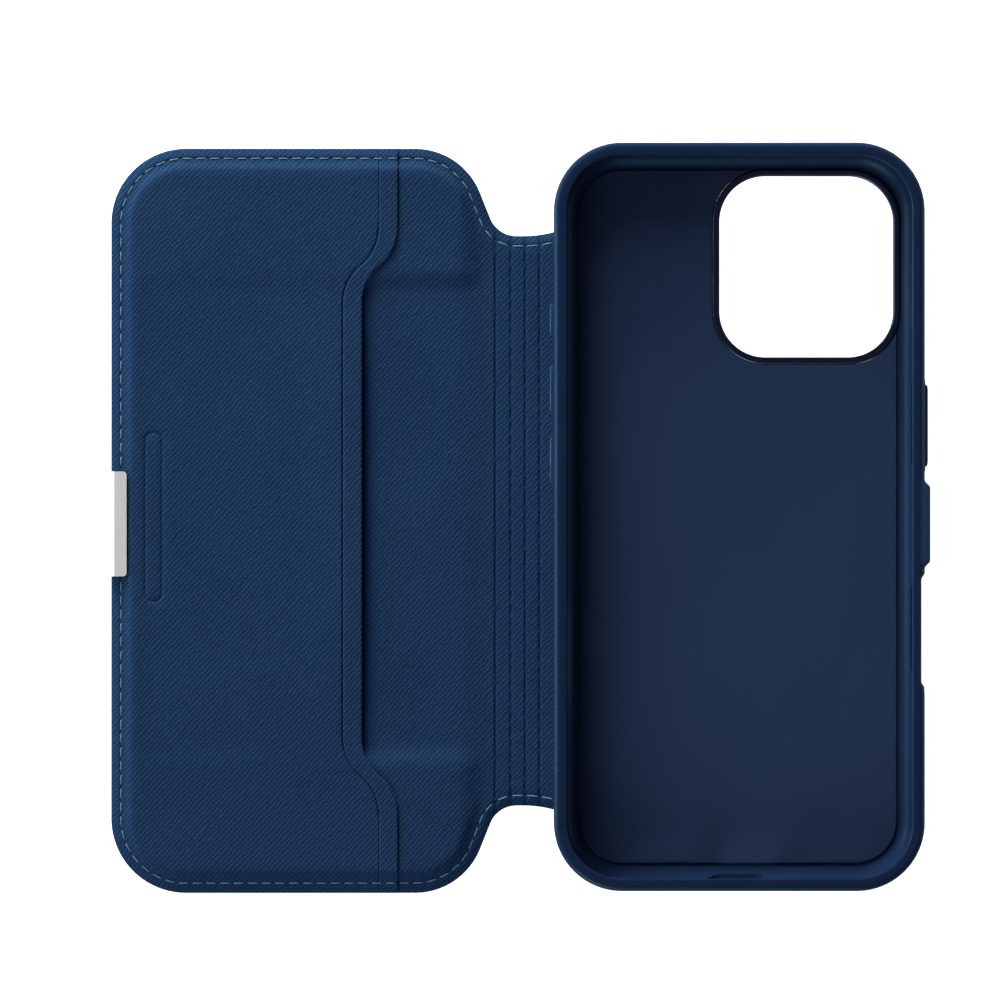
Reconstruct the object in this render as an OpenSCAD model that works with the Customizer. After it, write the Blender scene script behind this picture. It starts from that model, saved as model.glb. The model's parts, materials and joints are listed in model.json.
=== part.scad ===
// Phone wallet case: a phone tray with a folding cover that holds a card.
// It lies open on its back. +X runs from the cover to the tray, +Y to the phone's top, +Z up.
// The origin is the centre of the tray's back, on the surface that it rests on.

/* [Tray] */
// Width of the tray's outline
tray_w = 76.3; // [76:0.1:77]
// Length of the tray's outline
tray_l = 154; // [152:0.5:156]
// Height of the rim above the resting face
rim_z = 10.4; // [10:0.1:10.4]
// Corner radius of the outline
tray_r = 14; // [13:0.5:15]
// Wall thickness beside the phone
wall = 2.3; // [2.2:0.05:2.4]

/* [Cover] */
// Width of the cover from its free edge to its crease
cover_w = 79.6; // [79:0.1:80]
// Length of the cover
cover_l = 154.2; // [153:0.1:155]
// Offset of the cover and the spine along the tray
cover_y = -0.85; // [-1:0.05:0]
// Corner radius at the free edge
free_r = 15.5; // [14:0.5:17]
// Corner radius beside the spine
inner_r = 14.45; // [14:0.05:15]

/* [Spine] */
// Length of the spine along Y
spine_l = 118; // [116:0.5:120]
// Widths of the four ribs, from the tray to the cover
rib_w = [4.1, 2.97, 2.99, 3.2];
// Half-width of the slack at a crease's fold line
fold_gap = 0.03; // [0.02:0.01:0.05]

/* [Leather] */
// Thickness of the outer leather
outer_t = 0.65; // [0.6:0.05:0.65]
// Thickness of each inner leather
inner_t = 0.45; // [0.4:0.05:0.45]
// Thickness of the cover's stiffening board
board_t = 0.45; // [0.4:0.05:0.45]
// Thickness of the foam around the card recess
foam_t = 0.45; // [0.35:0.05:0.5]

/* [Card pocket] */
// Length of the straight part of the pocket's mouth
mouth_l = 90; // [88:0.5:92]
// Width of the hem along the mouth
hem_w = 3.85; // [3:0.05:5]
// Extra thickness of the folded hem
hem_t = 0.25; // [0.2:0.05:0.25]
// Room for a card under the pocket, before the leather stretches
card_gap = 0.15; // [0.1:0.05:0.15]

/* [Buttons] */
// How far a button stands out of the wall
cap_out = 0.9; // [0.7:0.1:0.9]
// Height of a button
cap_h = 2.6; // [2.4:0.1:2.8]
// How far a button can be pressed
press = 0.4; // [0.3:0.05:0.5]
// Play around a button in its slot
cap_play = 0.2; // [0.15:0.05:0.25]

/* [Hidden] */

$fn = 64;
big = 400;

navy = [0.12, 0.21, 0.34];
navy_dark = [0.08, 0.13, 0.24];
slate = [0.16, 0.24, 0.36];
thread_blue = [0.42, 0.55, 0.65];
silver = [0.78, 0.78, 0.77];
magnet_grey = [0.45, 0.45, 0.47];

// Tray heights and radii
plate_t = 0.95;
lining_t = 0.25;
floor_z = outer_t + plate_t;
belly_r = 4.5;       // outer round under the wall
rim_r = 1.2;         // outer round on the rim
heel_r = 3.0;        // inner round at the floor
lip_in = 0.32;       // how far the lip reaches over the phone
lip_z = rim_z - 0.7;
flange_w = 7.15;
button_z = 5.75;
bulge = 0.27;        // low pad around the buttons
pad_h = 2.15;        // half-height of those pads

// Spine: fold lines run along Y at half the spine's thickness
spine_t = outer_t + inner_t;
fold_z = spine_t / 2;
root_x = -36.9;
crease_1 = root_x - rib_w[0];
crease_2 = crease_1 - rib_w[1];
crease_3 = crease_2 - rib_w[2];
crease_4 = crease_3 - rib_w[3];
crease_x = [root_x, crease_1, crease_2, crease_3, crease_4];
close_deg = [50, 20, 20, 10, 80];     // fold of each crease when closed
back_deg = [0, 27.7, 27.7, 13.9, 110.8]; // fold of each crease when folded back

// Cover outline
free_x = crease_4 - cover_w;
neck_x = -52.34;     // right edge of the cover's rounded body
neck_r = 5.85;       // hollow curve between cover and spine
neck_hollow_x = -45.8;
flare_r = 25;        // slight widening of the spine at the tray
flare_x = -44.5;
flare_rise = 1.3;
arc_steps = 16;
stitch_in = 1.85;
crown_in = 3.4;      // from the edge to the board and foam
recess_l = 98.6;
recess_x = -123.8;   // free-edge side of the card recess
recess_r = 4;
recess_y = cover_y + 0.5;
recess_end = neck_x + 2; // the recess runs out past the neck

// Card pocket mouth
mouth_x = -77.71;    // straight part of the mouth
mouth_end_x = -70.28; // the mouth's two ends, at the cover's edges
bend_l = 15.8;       // length of each S-bend along Y
bend_w = mouth_end_x - mouth_x;
bend_r = (bend_l * bend_l + bend_w * bend_w) / (4 * bend_w);

// Thread
stitch = 1.8;
stitch_pitch = 2.8;
thread_w = 0.3;
thread_t = 0.2;

// Clasp and catch share one centre line
clasp_y = -1.5;
clasp_l = 21.7;
clasp_w = 3.3;
clasp_top = 2.55;
clasp_plate_t = 0.6;
catch_l = 18;
catch_out = 1.1;
catch_taper = 1.4;
catch_z = rim_z - 0.1;

// Camera window in the back
cam_w = 36;
cam_l = 37.5;
cam_r = 9.5;
cam_ring = 1.5;
cam_x = 14.2;
cam_y = 51.75;
cam_room = 0.6;      // height of the window's edge in the bumper, above the plate
ring_play = 0.1;     // how far the ring stands proud of the lining and clear of the table

// Buttons: depth behind the wall's face, front step and inner flange
cap_depth = 1.6;
cap_step = 0.3;
cap_flange = 0.5;
cap_seat = 1.0;
flange_depth = 0.95;

// Buttons and their pads: centre along Y and length
action_cap = [40.5, 7.2];
volume_up_cap = [25.9, 10.5];
volume_down_cap = [11.6, 10];
side_cap = [18.8, 16.9];
action_pad = [40.5, 10.3];
volume_pad = [19, 27.2];
side_pad = [18.8, 20.5];

// ---- Plain shapes ----

module round_rect(w, l, r) {
  square([w, l - 2 * r], center = true);
  square([w - 2 * r, l], center = true);
  for (x = [-1, 1], y = [-1, 1])
    translate([x * (w / 2 - r), y * (l / 2 - r)]) circle(r);
}

// A flat plate of the tray's outline, moved in from its edge
module tray_plate(inset, z0, z1) {
  translate([0, 0, z0]) linear_extrude(z1 - z0)
    round_rect(tray_w - 2 * inset, tray_l - 2 * inset, tray_r - inset);
}

module camera_window(grow, z0, z1) {
  translate([cam_x, cam_y, z0]) linear_extrude(z1 - z0)
    round_rect(cam_w + 2 * grow, cam_l + 2 * grow, cam_r + grow);
}

// A stadium along Y that stands on the YZ plane and runs from x0 to x1
module slot_bar(y, l, h, x0, x1, z = button_z) {
  translate([x0, y, z]) rotate([90, 0, 90]) linear_extrude(x1 - x0) {
    square([l - h, h], center = true);
    for (s = [-1, 1]) translate([s * (l - h) / 2, 0]) circle(h / 2);
  }
}

// ---- Tray wall ----

// Section of the wall: the outline is at x = tray_r
module wall_section() {
  difference() {
    union() {
      translate([tray_r - flange_w, outer_t])
        square([flange_w - belly_r, rim_z - outer_t - rim_r]);
      translate([tray_r - belly_r, outer_t + belly_r]) circle(belly_r);
      translate([tray_r - flange_w, outer_t + belly_r])
        square([flange_w, rim_z - rim_r - outer_t - belly_r]);
      translate([tray_r - flange_w, rim_z - rim_r]) square([flange_w - rim_r, rim_r]);
      translate([tray_r - rim_r, rim_z - rim_r]) circle(rim_r);
    }
    translate([0, floor_z]) square([tray_r - wall - heel_r, rim_z]);
    translate([tray_r - wall - heel_r, floor_z + heel_r]) circle(heel_r);
    translate([0, floor_z + heel_r]) square([tray_r - wall, lip_z - floor_z - heel_r]);
    translate([0, floor_z + heel_r]) square([tray_r - wall - lip_in, rim_z]);
  }
}

module wall_ring() {
  side = tray_l - 2 * tray_r;
  end = tray_w - 2 * tray_r;
  for (turn = [0, 180]) rotate([0, 0, turn]) {
    translate([end / 2, side / 2, 0]) rotate([90, 0, 0]) linear_extrude(side) wall_section();
    translate([end / 2, side / 2, 0]) rotate([90, 0, 90]) mirror([0, 0, 1])
      linear_extrude(end) wall_section();
    translate([end / 2, side / 2, 0]) rotate_extrude(angle = 90) wall_section();
    translate([-end / 2, side / 2, 0]) rotate([0, 0, 90]) rotate_extrude(angle = 90) wall_section();
  }
}

// Mirrors to the left wall when side is -1
module on_side(side) {
  mirror([side < 0 ? 1 : 0, 0, 0]) children();
}

// A pad on a side wall, with sloped ends; span is its centre along Y and its length
module wall_pad(span, side, out, taper, z0, z1) {
  x = tray_w / 2;
  l = span[1];
  translate([0, span[0], z0]) linear_extrude(z1 - z0) on_side(side) polygon([
    [x - 1, -l / 2], [x, -l / 2], [x + out, taper - l / 2],
    [x + out, l / 2 - taper], [x, l / 2], [x - 1, l / 2]
  ]);
}

module button_pad(span, side) {
  wall_pad(span, side, bulge, 1, button_z - pad_h, button_z + pad_h);
}

wall_cut = 4; // cutters reach this far in from the wall's face

// Room for a button in the wall, with a deeper seat for its inner flange
module button_hole(cap, side) {
  inside = tray_w / 2 - wall_cut;
  seat = 2 * (cap_flange + cap_play);
  on_side(side) {
    slot_bar(cap[0], cap[1] + 2 * cap_play, cap_h + 2 * cap_play, inside, tray_w / 2 + 2);
    slot_bar(cap[0], cap[1] + seat, cap_h + seat, inside, tray_w / 2 - flange_depth);
  }
}

module bumper() color(navy_dark) {
  difference() {
    union() {
      wall_ring();
      button_pad(action_pad, -1);
      button_pad(volume_pad, -1);
      button_pad(side_pad, 1);
      wall_pad([clasp_y, catch_l], 1, catch_out, catch_taper, button_z - pad_h, catch_z);
    }
    button_hole(action_cap, -1);
    button_hole(volume_up_cap, -1);
    button_hole(volume_down_cap, -1);
    button_hole(side_cap, 1);
    camera_window(cam_ring, -1, floor_z + cam_room);
    tuck_space();
    catch_magnet_bar();
    side_control_cutout();
    bottom_port_cutouts();
  }
}

control_y = -23.4;
control_l = 23;
control_in = 0.68;
control_taper = 0.5;
control_slot = [20, 4.6]; // length and height

// Scoop and slot beside the phone's touch control
module side_control_cutout() {
  l = control_l / 2;
  x = tray_w / 2;
  translate([0, control_y, -1]) linear_extrude(rim_z + 2) polygon([
    [x - control_in, control_taper - l], [x + 1, -l - control_taper],
    [x + 1, l + control_taper], [x - control_in, l - control_taper]
  ]);
  slot_bar(control_y, control_slot[0], control_slot[1], x - wall_cut, x + 2);
}

port_w = 13.5;
port_h = 6.4;
grille_w = 13;
grille_h = 3.2;
grille_x = 17.5;

module end_slot(x, w, h) {
  translate([x, wall_cut - tray_l / 2, button_z]) rotate([90, 0, 0]) linear_extrude(6) {
    square([w - h, h], center = true);
    for (s = [-1, 1]) translate([s * (w - h) / 2, 0]) circle(h / 2);
  }
}

module bottom_port_cutouts() {
  end_slot(0, port_w, port_h);
  end_slot(-grille_x, grille_w, grille_h);
  end_slot(grille_x, grille_w, grille_h);
}

magnet_l = 12;
magnet_w = 1.6;
magnet_h = 3.4;
magnet_x = tray_w / 2 - 1.35; // inner side of the magnet, inside the catch bump
magnet_top = rim_z - 1;

module catch_magnet_bar() {
  translate([magnet_x, clasp_y - magnet_l / 2, magnet_top - magnet_h])
    cube([magnet_w, magnet_l, magnet_h]);
}

module catch_magnet() color(magnet_grey) catch_magnet_bar();

module back_plate() color([0.1, 0.1, 0.12]) {
  difference() {
    tray_plate(flange_w, outer_t, floor_z);
    camera_window(cam_ring, -1, rim_z);
    tuck_space();
  }
}

module microfibre_lining() color(slate) {
  difference() {
    tray_plate(wall + heel_r, floor_z, floor_z + lining_t);
    camera_window(cam_ring, -1, rim_z);
    translate([cam_x, cam_y, -1]) cube([cam_w, cam_l, rim_z]);
  }
}

module camera_ring() color([0.2, 0.22, 0.26]) {
  difference() {
    camera_window(cam_ring, ring_play, floor_z + lining_t + ring_play);
    camera_window(0, -1, rim_z);
  }
}

leather_in = 3.3;
leaf_end = -30;

module back_leather() color(navy) {
  difference() {
    union() {
      tray_plate(leather_in, 0, outer_t);
      intersection() {
        leaf(root_x, leaf_end);
        hide(0, outer_t);
      }
    }
    camera_window(cam_ring, -1, rim_z);
  }
}

tuck_end = -28;
tuck_play = 0.05;

// End of the spine's inner leather, glued between the back leather and the tray
module spine_tuck() color(navy) {
  intersection() {
    leaf(root_x, tuck_end);
    hide(outer_t, spine_t);
  }
}

module tuck_space() {
  half = spine_l / 2 + flare_rise + tuck_play;
  translate([tuck_end - big / 2, cover_y - half, 0]) cube([big / 2, 2 * half, spine_t]);
}

// ---- Buttons ----

module button(cap, side) {
  x = tray_w / 2;
  on_side(side) {
    slot_bar(cap[0], cap[1], cap_h, x - cap_depth, x + cap_out - cap_step);
    slot_bar(cap[0], cap[1] - 2 * cap_step, cap_h - 2 * cap_step, x - cap_depth, x + cap_out);
    slot_bar(cap[0], cap[1] + 2 * cap_flange, cap_h + 2 * cap_flange, x - cap_depth, x - cap_seat);
  }
}

module action_button() color(navy_dark) button(action_cap, -1);
module volume_up_button() color(navy_dark) button(volume_up_cap, -1);
module volume_down_button() color(navy_dark) button(volume_down_cap, -1);
module side_button() color(navy_dark) button(side_cap, 1);

// ---- Cover and spine outline ----

// Points along an arc about c
function arc(c, r, a0, a1) = [
  for (k = [0 : arc_steps]) let (a = a0 + (a1 - a0) * k / arc_steps) c + r * [cos(a), sin(a)]
];

// Upper half of the outline of the cover and the spine, moved in by inset: free corner, inner
// corner, hollow curve to the spine, and the spine's slight widening at the tray
function outline_half(inset) =
  let (
    free = [free_x + free_r, cover_l / 2 - free_r],
    inner = [neck_x - inner_r, cover_l / 2 - inner_r],
    hollow = [neck_hollow_x, spine_l / 2 + neck_r],
    flare = [flare_x, spine_l / 2 + flare_r],
    span = hollow - inner,
    turn = atan2(span[1], span[0]) + acos((inner_r + neck_r) / norm(span)),
    widen = acos(1 - flare_rise / flare_r)
  )
  concat(
    arc(free, free_r - inset, 180, 90),
    arc(inner, inner_r - inset, 90, turn),
    arc(hollow, neck_r + inset, turn + 180, 270),
    arc(flare, flare_r + inset, 270, 270 + widen),
    [[tuck_end, flare[1] - (flare_r + inset) * cos(widen)]]
  );

module hide_outline(inset = 0) {
  top = outline_half(inset);
  low = [for (k = [len(top) - 1 : -1 : 0]) [top[k][0], -top[k][1]]];
  translate([0, cover_y]) polygon(concat(top, low));
}

// The outline as a slab between two heights
module hide(z0, z1, inset = 0) {
  translate([0, 0, z0]) linear_extrude(z1 - z0) hide_outline(inset);
}

fold_play = 0.05;

// Slack at a fold line so that two ribs can bend by angle without touching
function slack(angle) = fold_z * tan(angle / 2) + fold_play;

// A strip between two fold lines, with its edges cut back at both faces.
// The left edge is at crease number left_n and the right edge at right_n; -1 is a plain end.
module leaf_section(x_left, x_right, left_n, right_n) {
  lt = left_n < 0 ? 0 : slack(close_deg[left_n]);
  lb = left_n < 0 ? 0 : slack(back_deg[left_n]);
  rt = right_n < 0 ? 0 : slack(close_deg[right_n]);
  rb = right_n < 0 ? 0 : slack(back_deg[right_n]);
  gl = left_n < 0 ? 0 : fold_gap;
  gr = right_n < 0 ? 0 : fold_gap;
  polygon([
    [x_left + gl, fold_z], [x_left + lb, 0], [x_right - rb, 0],
    [x_right - gr, fold_z], [x_right - rt, spine_t], [x_left + lt, spine_t]
  ]);
}

// The tray's end of a leather, from the root fold line inwards
module leaf(x_left, x_right) {
  translate([0, big / 2, 0]) rotate([90, 0, 0]) linear_extrude(big)
    leaf_section(x_left, x_right, 0, -1);
}

module rib(n, z0, z1) {
  intersection() {
    translate([0, big / 2, 0]) rotate([90, 0, 0]) linear_extrude(big)
      leaf_section(crease_x[n], crease_x[n - 1], n, n - 1);
    hide(z0, z1);
  }
}

// One stitch lying on a surface at height z
module one_stitch(x, y, angle, z) {
  translate([x, y, z]) rotate([0, 0, angle]) translate([-stitch / 2, -thread_w / 2, 0])
    cube([stitch, thread_w, thread_t]);
}

module rib_thread(n) {
  x = (crease_x[n] + crease_x[n - 1]) / 2;
  for (s = [-1, 1])
    one_stitch(x, cover_y + s * (spine_l / 2 - stitch_in), 0, spine_t);
}

module rib_1_outer_leather() color(navy) rib(1, 0, outer_t);
module rib_1_inner_leather() color(navy) rib(1, outer_t, spine_t);
module rib_1_thread() color(thread_blue) rib_thread(1);
module rib_2_outer_leather() color(navy) rib(2, 0, outer_t);
module rib_2_inner_leather() color(navy) rib(2, outer_t, spine_t);
module rib_2_thread() color(thread_blue) rib_thread(2);
module rib_3_outer_leather() color(navy) rib(3, 0, outer_t);
module rib_3_inner_leather() color(navy) rib(3, outer_t, spine_t);
module rib_3_thread() color(thread_blue) rib_thread(3);
module rib_4_outer_leather() color(navy) rib(4, 0, outer_t);
module rib_4_inner_leather() color(navy) rib(4, outer_t, spine_t);
module rib_4_thread() color(thread_blue) rib_thread(4);

// ---- Cover ----

board_z = outer_t;
foam_z = board_z + board_t;
crown_z = foam_z + foam_t;

cover_step = [1.2, 0.3]; // how far back and up from its crease the cover's edge steps

// The part of the outline that belongs to the cover, cut back at its crease
module cover_side() {
  translate([0, big / 2, 0]) rotate([90, 0, 0]) linear_extrude(big) polygon([
    [-big, 0], [crease_4 - slack(back_deg[4]), 0], [crease_4 - fold_gap, fold_z],
    [crease_4 - slack(close_deg[4]), spine_t],
    [crease_4 - cover_step[0], spine_t + cover_step[1]],
    [crease_4 - cover_step[0], rim_z], [-big, rim_z]
  ]);
}

// Room for the clasp at the free edge
module clasp_space(grow_y = 0) {
  translate([free_x - 1, clasp_y - clasp_l / 2 - grow_y, board_z])
    cube([1 + clasp_w, clasp_l + 2 * grow_y, 10]);
  translate([free_x - 1, clasp_y - clasp_l / 2 - grow_y, -1])
    cube([1 + clasp_plate_t, clasp_l + 2 * grow_y, 10]);
}

crown_end = neck_x - 0.6; // where the raised middle stops before the neck

// The raised middle of the cover, cut square before the neck
module crown(inset, z0, z1) {
  intersection() {
    hide(z0, z1, inset);
    translate([crown_end + crown_in - inset - big, -big / 2, z0]) cube([big, big, z1 - z0]);
  }
}

// The sunken field for cards: open towards the spine
module card_field(inset, z0, z1) {
  x0 = recess_x + inset;
  l = recess_l - 2 * inset;
  r = recess_r - inset;
  translate([x0, recess_y - l / 2, z0]) linear_extrude(z1 - z0) {
    translate([r, 0]) square([recess_end - x0 - r, l]);
    translate([0, r]) square([neck_x - x0, l - 2 * r]);
    for (y = [r, l - r]) translate([r, y]) circle(r);
  }
}

// A sheet that follows the cover's shape: flat margin, raised crown, sunken card field
module draped_sheet(lift, t, extra) {
  step_in = crown_in - lift - t;
  low = board_z + lift;
  high = crown_z + lift;
  sunk = foam_z + lift + extra;
  difference() {
    union() {
      difference() {
        union() {
          hide(low, low + t);
          crown(step_in, low, high + t);
        }
        crown(step_in + t, 0, high);
      }
      intersection() {
        card_field(lift, sunk, high + t);
        crown(step_in + t / 2, 0, high + t);
      }
    }
    intersection() {
      card_field(lift + t, sunk + t, high + t + 1);
      crown(step_in, 0, high + t + 1);
    }
  }
}

module cover_outer_leather() color(navy) {
  difference() {
    intersection() {
      hide(0, outer_t);
      cover_side();
    }
    clasp_space();
  }
}

module cover_board() color([0.55, 0.5, 0.42]) {
  crown(crown_in, board_z, foam_z);
}

module cover_foam() color([0.25, 0.25, 0.27]) {
  difference() {
    crown(crown_in, foam_z, crown_z);
    card_field(0, foam_z - 1, crown_z + 1);
  }
}

module cover_inner_leather() color(navy) {
  difference() {
    intersection() {
      draped_sheet(0, inner_t, 0);
      cover_side();
    }
    clasp_space();
  }
}

// One side of an S-bend, from the straight mouth to its end
function bend_point(k, steps) =
  let (a = 2 * asin(bend_l / (2 * bend_r)) / 2 * (k / steps))
  [bend_r * (1 - cos(a)), bend_r * sin(a)];

bend_steps = 6;

// The mouth line from the middle of the cover to its top edge, moved by dx
function mouth_half(dx) = concat(
  [[mouth_x + dx, 0]],
  [for (k = [0 : bend_steps]) let (p = bend_point(k, bend_steps))
    [mouth_x + dx + p[0], mouth_l / 2 + p[1]]],
  [for (k = [bend_steps : -1 : 0]) let (p = bend_point(k, bend_steps))
    [mouth_end_x + dx - p[0], mouth_l / 2 + bend_l - p[1]]],
  [[mouth_end_x + dx, cover_l]]
);

// Everything on the free-edge side of the mouth line
module mouth_side(dx, z0, z1) {
  top_half = mouth_half(dx);
  low_half = [for (k = [len(top_half) - 1 : -1 : 1]) [top_half[k][0], -top_half[k][1]]];
  translate([0, cover_y, z0]) linear_extrude(z1 - z0)
    polygon(concat([[-big, -cover_l]], low_half, top_half, [[-big, cover_l]]));
}

module pocket_panel() color(navy) {
  difference() {
    intersection() {
      draped_sheet(inner_t, inner_t, card_gap);
      mouth_side(0, -1, 10);
    }
    clasp_space();
  }
}

module pocket_hem() color(navy) {
  difference() {
    intersection() {
      draped_sheet(2 * inner_t, hem_t, card_gap);
      mouth_side(0, -1, 10);
    }
    mouth_side(-hem_w, -2, 11);
  }
}

// ---- Thread around the cover ----

// Stitches along a straight line
module stitch_line(x0, y0, x1, y1, z) {
  d = norm([x1 - x0, y1 - y0]);
  n = floor(d / stitch_pitch);
  for (k = [0 : n - 1]) let (f = (k + 0.5) / n)
    one_stitch(x0 + f * (x1 - x0), y0 + f * (y1 - y0), atan2(y1 - y0, x1 - x0), z);
}

// Stitches along an arc from angle a0 to a1
module stitch_arc(x, y, r, a0, a1, z) {
  n = floor(r * abs(a1 - a0) * PI / 180 / stitch_pitch);
  for (k = [0 : n - 1]) let (a = a0 + (k + 0.5) * (a1 - a0) / n)
    one_stitch(x + r * cos(a), y + r * sin(a), a + 90, z);
}

margin_z = board_z + inner_t;          // one inner leather on the margin
pocket_z = margin_z + inner_t;         // the pocket's leather on top of it
hem_z = pocket_z + hem_t;
clasp_clear = clasp_l / 2 + 1;

module cover_thread() color(thread_blue) {
  y_in = cover_l / 2 - stitch_in;
  y_free = cover_l / 2 - free_r;
  y_neck = cover_l / 2 - inner_r;
  x_free = free_x + free_r;
  x_neck = neck_x - inner_r;
  x_hem = mouth_end_x - hem_w;
  for (s = [-1, 1]) {
    stitch_line(x_free, cover_y + s * y_in, x_hem, cover_y + s * y_in, pocket_z);
    stitch_line(x_hem + 0.1, cover_y + s * y_in, mouth_end_x - 0.1, cover_y + s * y_in, hem_z);
    stitch_line(mouth_end_x + 0.1, cover_y + s * y_in, x_neck, cover_y + s * y_in, margin_z);
    stitch_arc(x_free, cover_y + s * y_free, free_r - stitch_in, s * 90, s * 180, pocket_z);
    stitch_arc(x_neck, cover_y + s * y_neck, inner_r - stitch_in, s * 88, s * 24, margin_z);
  }
  x_in = free_x + stitch_in;
  stitch_line(x_in, clasp_y + clasp_clear, x_in, cover_y + y_free, pocket_z);
  stitch_line(x_in, cover_y - y_free, x_in, clasp_y - clasp_clear, pocket_z);
}

// ---- Clasp ----

module clasp_plate() color(silver) {
  translate([free_x, clasp_y - clasp_l / 2, clasp_top - clasp_plate_t])
    cube([clasp_w, clasp_l, clasp_plate_t]);
  translate([free_x, clasp_y - clasp_l / 2, 0.1])
    cube([clasp_plate_t, clasp_l, clasp_top - 0.1]);
}

clasp_magnet_l = 9;

module clasp_magnet(side) {
  translate([free_x + clasp_plate_t, clasp_y + side * (clasp_l / 4) - clasp_magnet_l / 2, board_z])
    cube([clasp_w - clasp_plate_t, clasp_magnet_l, clasp_top - clasp_plate_t - board_z]);
}

module clasp_magnet_upper() color(magnet_grey) clasp_magnet(1);
module clasp_magnet_lower() color(magnet_grey) clasp_magnet(-1);

back_leather();
back_plate();
bumper();
microfibre_lining();
camera_ring();
catch_magnet();
spine_tuck();
action_button();
volume_up_button();
volume_down_button();
side_button();
rib_1_outer_leather();
rib_1_inner_leather();
rib_1_thread();
rib_2_outer_leather();
rib_2_inner_leather();
rib_2_thread();
rib_3_outer_leather();
rib_3_inner_leather();
rib_3_thread();
rib_4_outer_leather();
rib_4_inner_leather();
rib_4_thread();
cover_outer_leather();
cover_board();
cover_foam();
cover_inner_leather();
pocket_panel();
pocket_hem();
cover_thread();
clasp_plate();
clasp_magnet_upper();
clasp_magnet_lower();
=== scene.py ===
import json
import math

import bmesh
import bpy
import numpy as np
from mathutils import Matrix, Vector
from mathutils.geometry import delaunay_2d_cdt
from mathutils.kdtree import KDTree


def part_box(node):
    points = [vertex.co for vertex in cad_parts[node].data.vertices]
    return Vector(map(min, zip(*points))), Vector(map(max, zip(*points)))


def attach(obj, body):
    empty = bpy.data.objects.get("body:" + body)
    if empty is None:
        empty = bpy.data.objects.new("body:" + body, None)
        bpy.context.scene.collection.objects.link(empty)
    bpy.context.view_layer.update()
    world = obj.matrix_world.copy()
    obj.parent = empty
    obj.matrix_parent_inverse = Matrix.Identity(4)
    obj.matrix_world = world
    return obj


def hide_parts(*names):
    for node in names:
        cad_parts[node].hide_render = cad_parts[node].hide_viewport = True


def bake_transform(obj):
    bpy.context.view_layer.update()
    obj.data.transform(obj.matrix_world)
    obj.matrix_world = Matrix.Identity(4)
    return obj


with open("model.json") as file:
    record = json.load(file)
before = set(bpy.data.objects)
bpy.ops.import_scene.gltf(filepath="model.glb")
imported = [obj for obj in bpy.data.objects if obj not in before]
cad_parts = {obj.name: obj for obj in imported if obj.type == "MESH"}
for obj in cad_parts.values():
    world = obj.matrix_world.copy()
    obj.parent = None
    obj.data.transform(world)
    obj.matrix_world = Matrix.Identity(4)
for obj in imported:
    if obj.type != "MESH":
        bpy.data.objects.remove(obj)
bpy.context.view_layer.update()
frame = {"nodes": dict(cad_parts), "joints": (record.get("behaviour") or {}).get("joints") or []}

# Lengths in this script are in millimetres. MM turns them into the frame's metres.
MM = 0.001

# ---- Places and sizes from the frame ----


def cad_box(node):
    """Lowest and highest corner of a CAD node, in millimetres."""
    low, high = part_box(node)
    return np.array(low) / MM, np.array(high) / MM


def joint_place(name):
    """Place of a joint, in millimetres."""
    joint = next(j for j in frame["joints"] if j["name"] == name)
    return np.array(joint["pos_m"]) / MM


HIDE_LOW, HIDE_HIGH = cad_box("cover_outer_leather")
FREE_X = HIDE_LOW[0]
COVER_Y = (HIDE_LOW[1] + HIDE_HIGH[1]) / 2
COVER_HALF = (HIDE_HIGH[1] - HIDE_LOW[1]) / 2
OUTER_T = HIDE_HIGH[2]
MARGIN_Z = cad_box("spine_tuck")[1][2]
INNER_T = MARGIN_Z - OUTER_T
BOARD_TOP = cad_box("cover_board")[1][2]
CROWN_Z = cad_box("cover_inner_leather")[1][2]
PANEL_Z = cad_box("pocket_panel")[1][2]
TUCK_END = cad_box("spine_tuck")[1][0]
ROOT_X = joint_place("spine_lift")[0]
CREASES = [joint_place(n)[0] for n in ("rib_2_fold", "rib_3_fold", "rib_4_fold", "cover_fold")]

WALL_LOW, WALL_HIGH = cad_box("bumper")
TRAY_HALF_L = WALL_HIGH[1]
RIM_Z = WALL_HIGH[2]
TRAY_HALF_W = 38.15
TRAY_R = 14.0          # the outline's corners, seen from above
FLANGE_W = 7.15        # width of the wall's foot, which the back and its plate meet
BELLY_R = 4.5          # outer round at the wall's foot
RIM_R = 1.2            # round at the wall's top
HEEL_R = 3.0           # inner round at the wall's foot
WALL_T = 2.3
LIP = 0.32             # how far the rim stands in over the phone
LIP_R = 0.35           # the lip's upper round
UNDERCUT_R = 0.3       # the lip's lower round
FLOOR_Z = cad_box("back_plate")[1][2]
BUTTON_Z = sum(c[2] for c in cad_box("side_button")) / 2

# The outline of cover and spine: free corner, inner corner, hollow curve, widening at the tray
FREE_R = 15.5
INNER_R = 14.45
NECK_X = -52.34
HOLLOW_R = 5.85
HOLLOW_X = -45.8
SPINE_HALF = 59.0
FLARE_R = 25.0
FLARE_X = -44.5
FLARE_RISE = 1.3
BEYOND = -1000.0       # an x past the free edge

# Cover relief
CROWN_START = 2.35     # distance from the edge where the shoulder starts
CROWN_END = 4.65
FIELD_X = -123.8       # sunken field for cards
FIELD_Y = -0.35
FIELD_HALF = 49.3
FIELD_R = 4.0
FIELD_RAMP = 4.2
FIELD_DIP = 0.65
STITCH_IN = 2.1
STITCH_L = 2.3
STITCH_PITCH = 2.83
RIB_STITCH_L = 2.6
CHANNEL = 0.13         # depth of the groove that the stitches lie in
CHANNEL_W = 0.27
BACK_CHANNEL = 0.2     # the same groove on the cover's back
CREASE_DEPTH = 0.18
BACK_CREASE_DEPTH = 0.1
CREASE_W = 0.2
EDGE_DROOP = 0.6       # how far the sewn edge falls
MOUTH_DIP = 0.14       # extra depth of the card field beside the pocket's mouth
MOUTH_LIFT = 0.5       # how far the pocket's mouth bows up
LIFT_REACH = 15        # how far behind the mouth the leather bows
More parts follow.
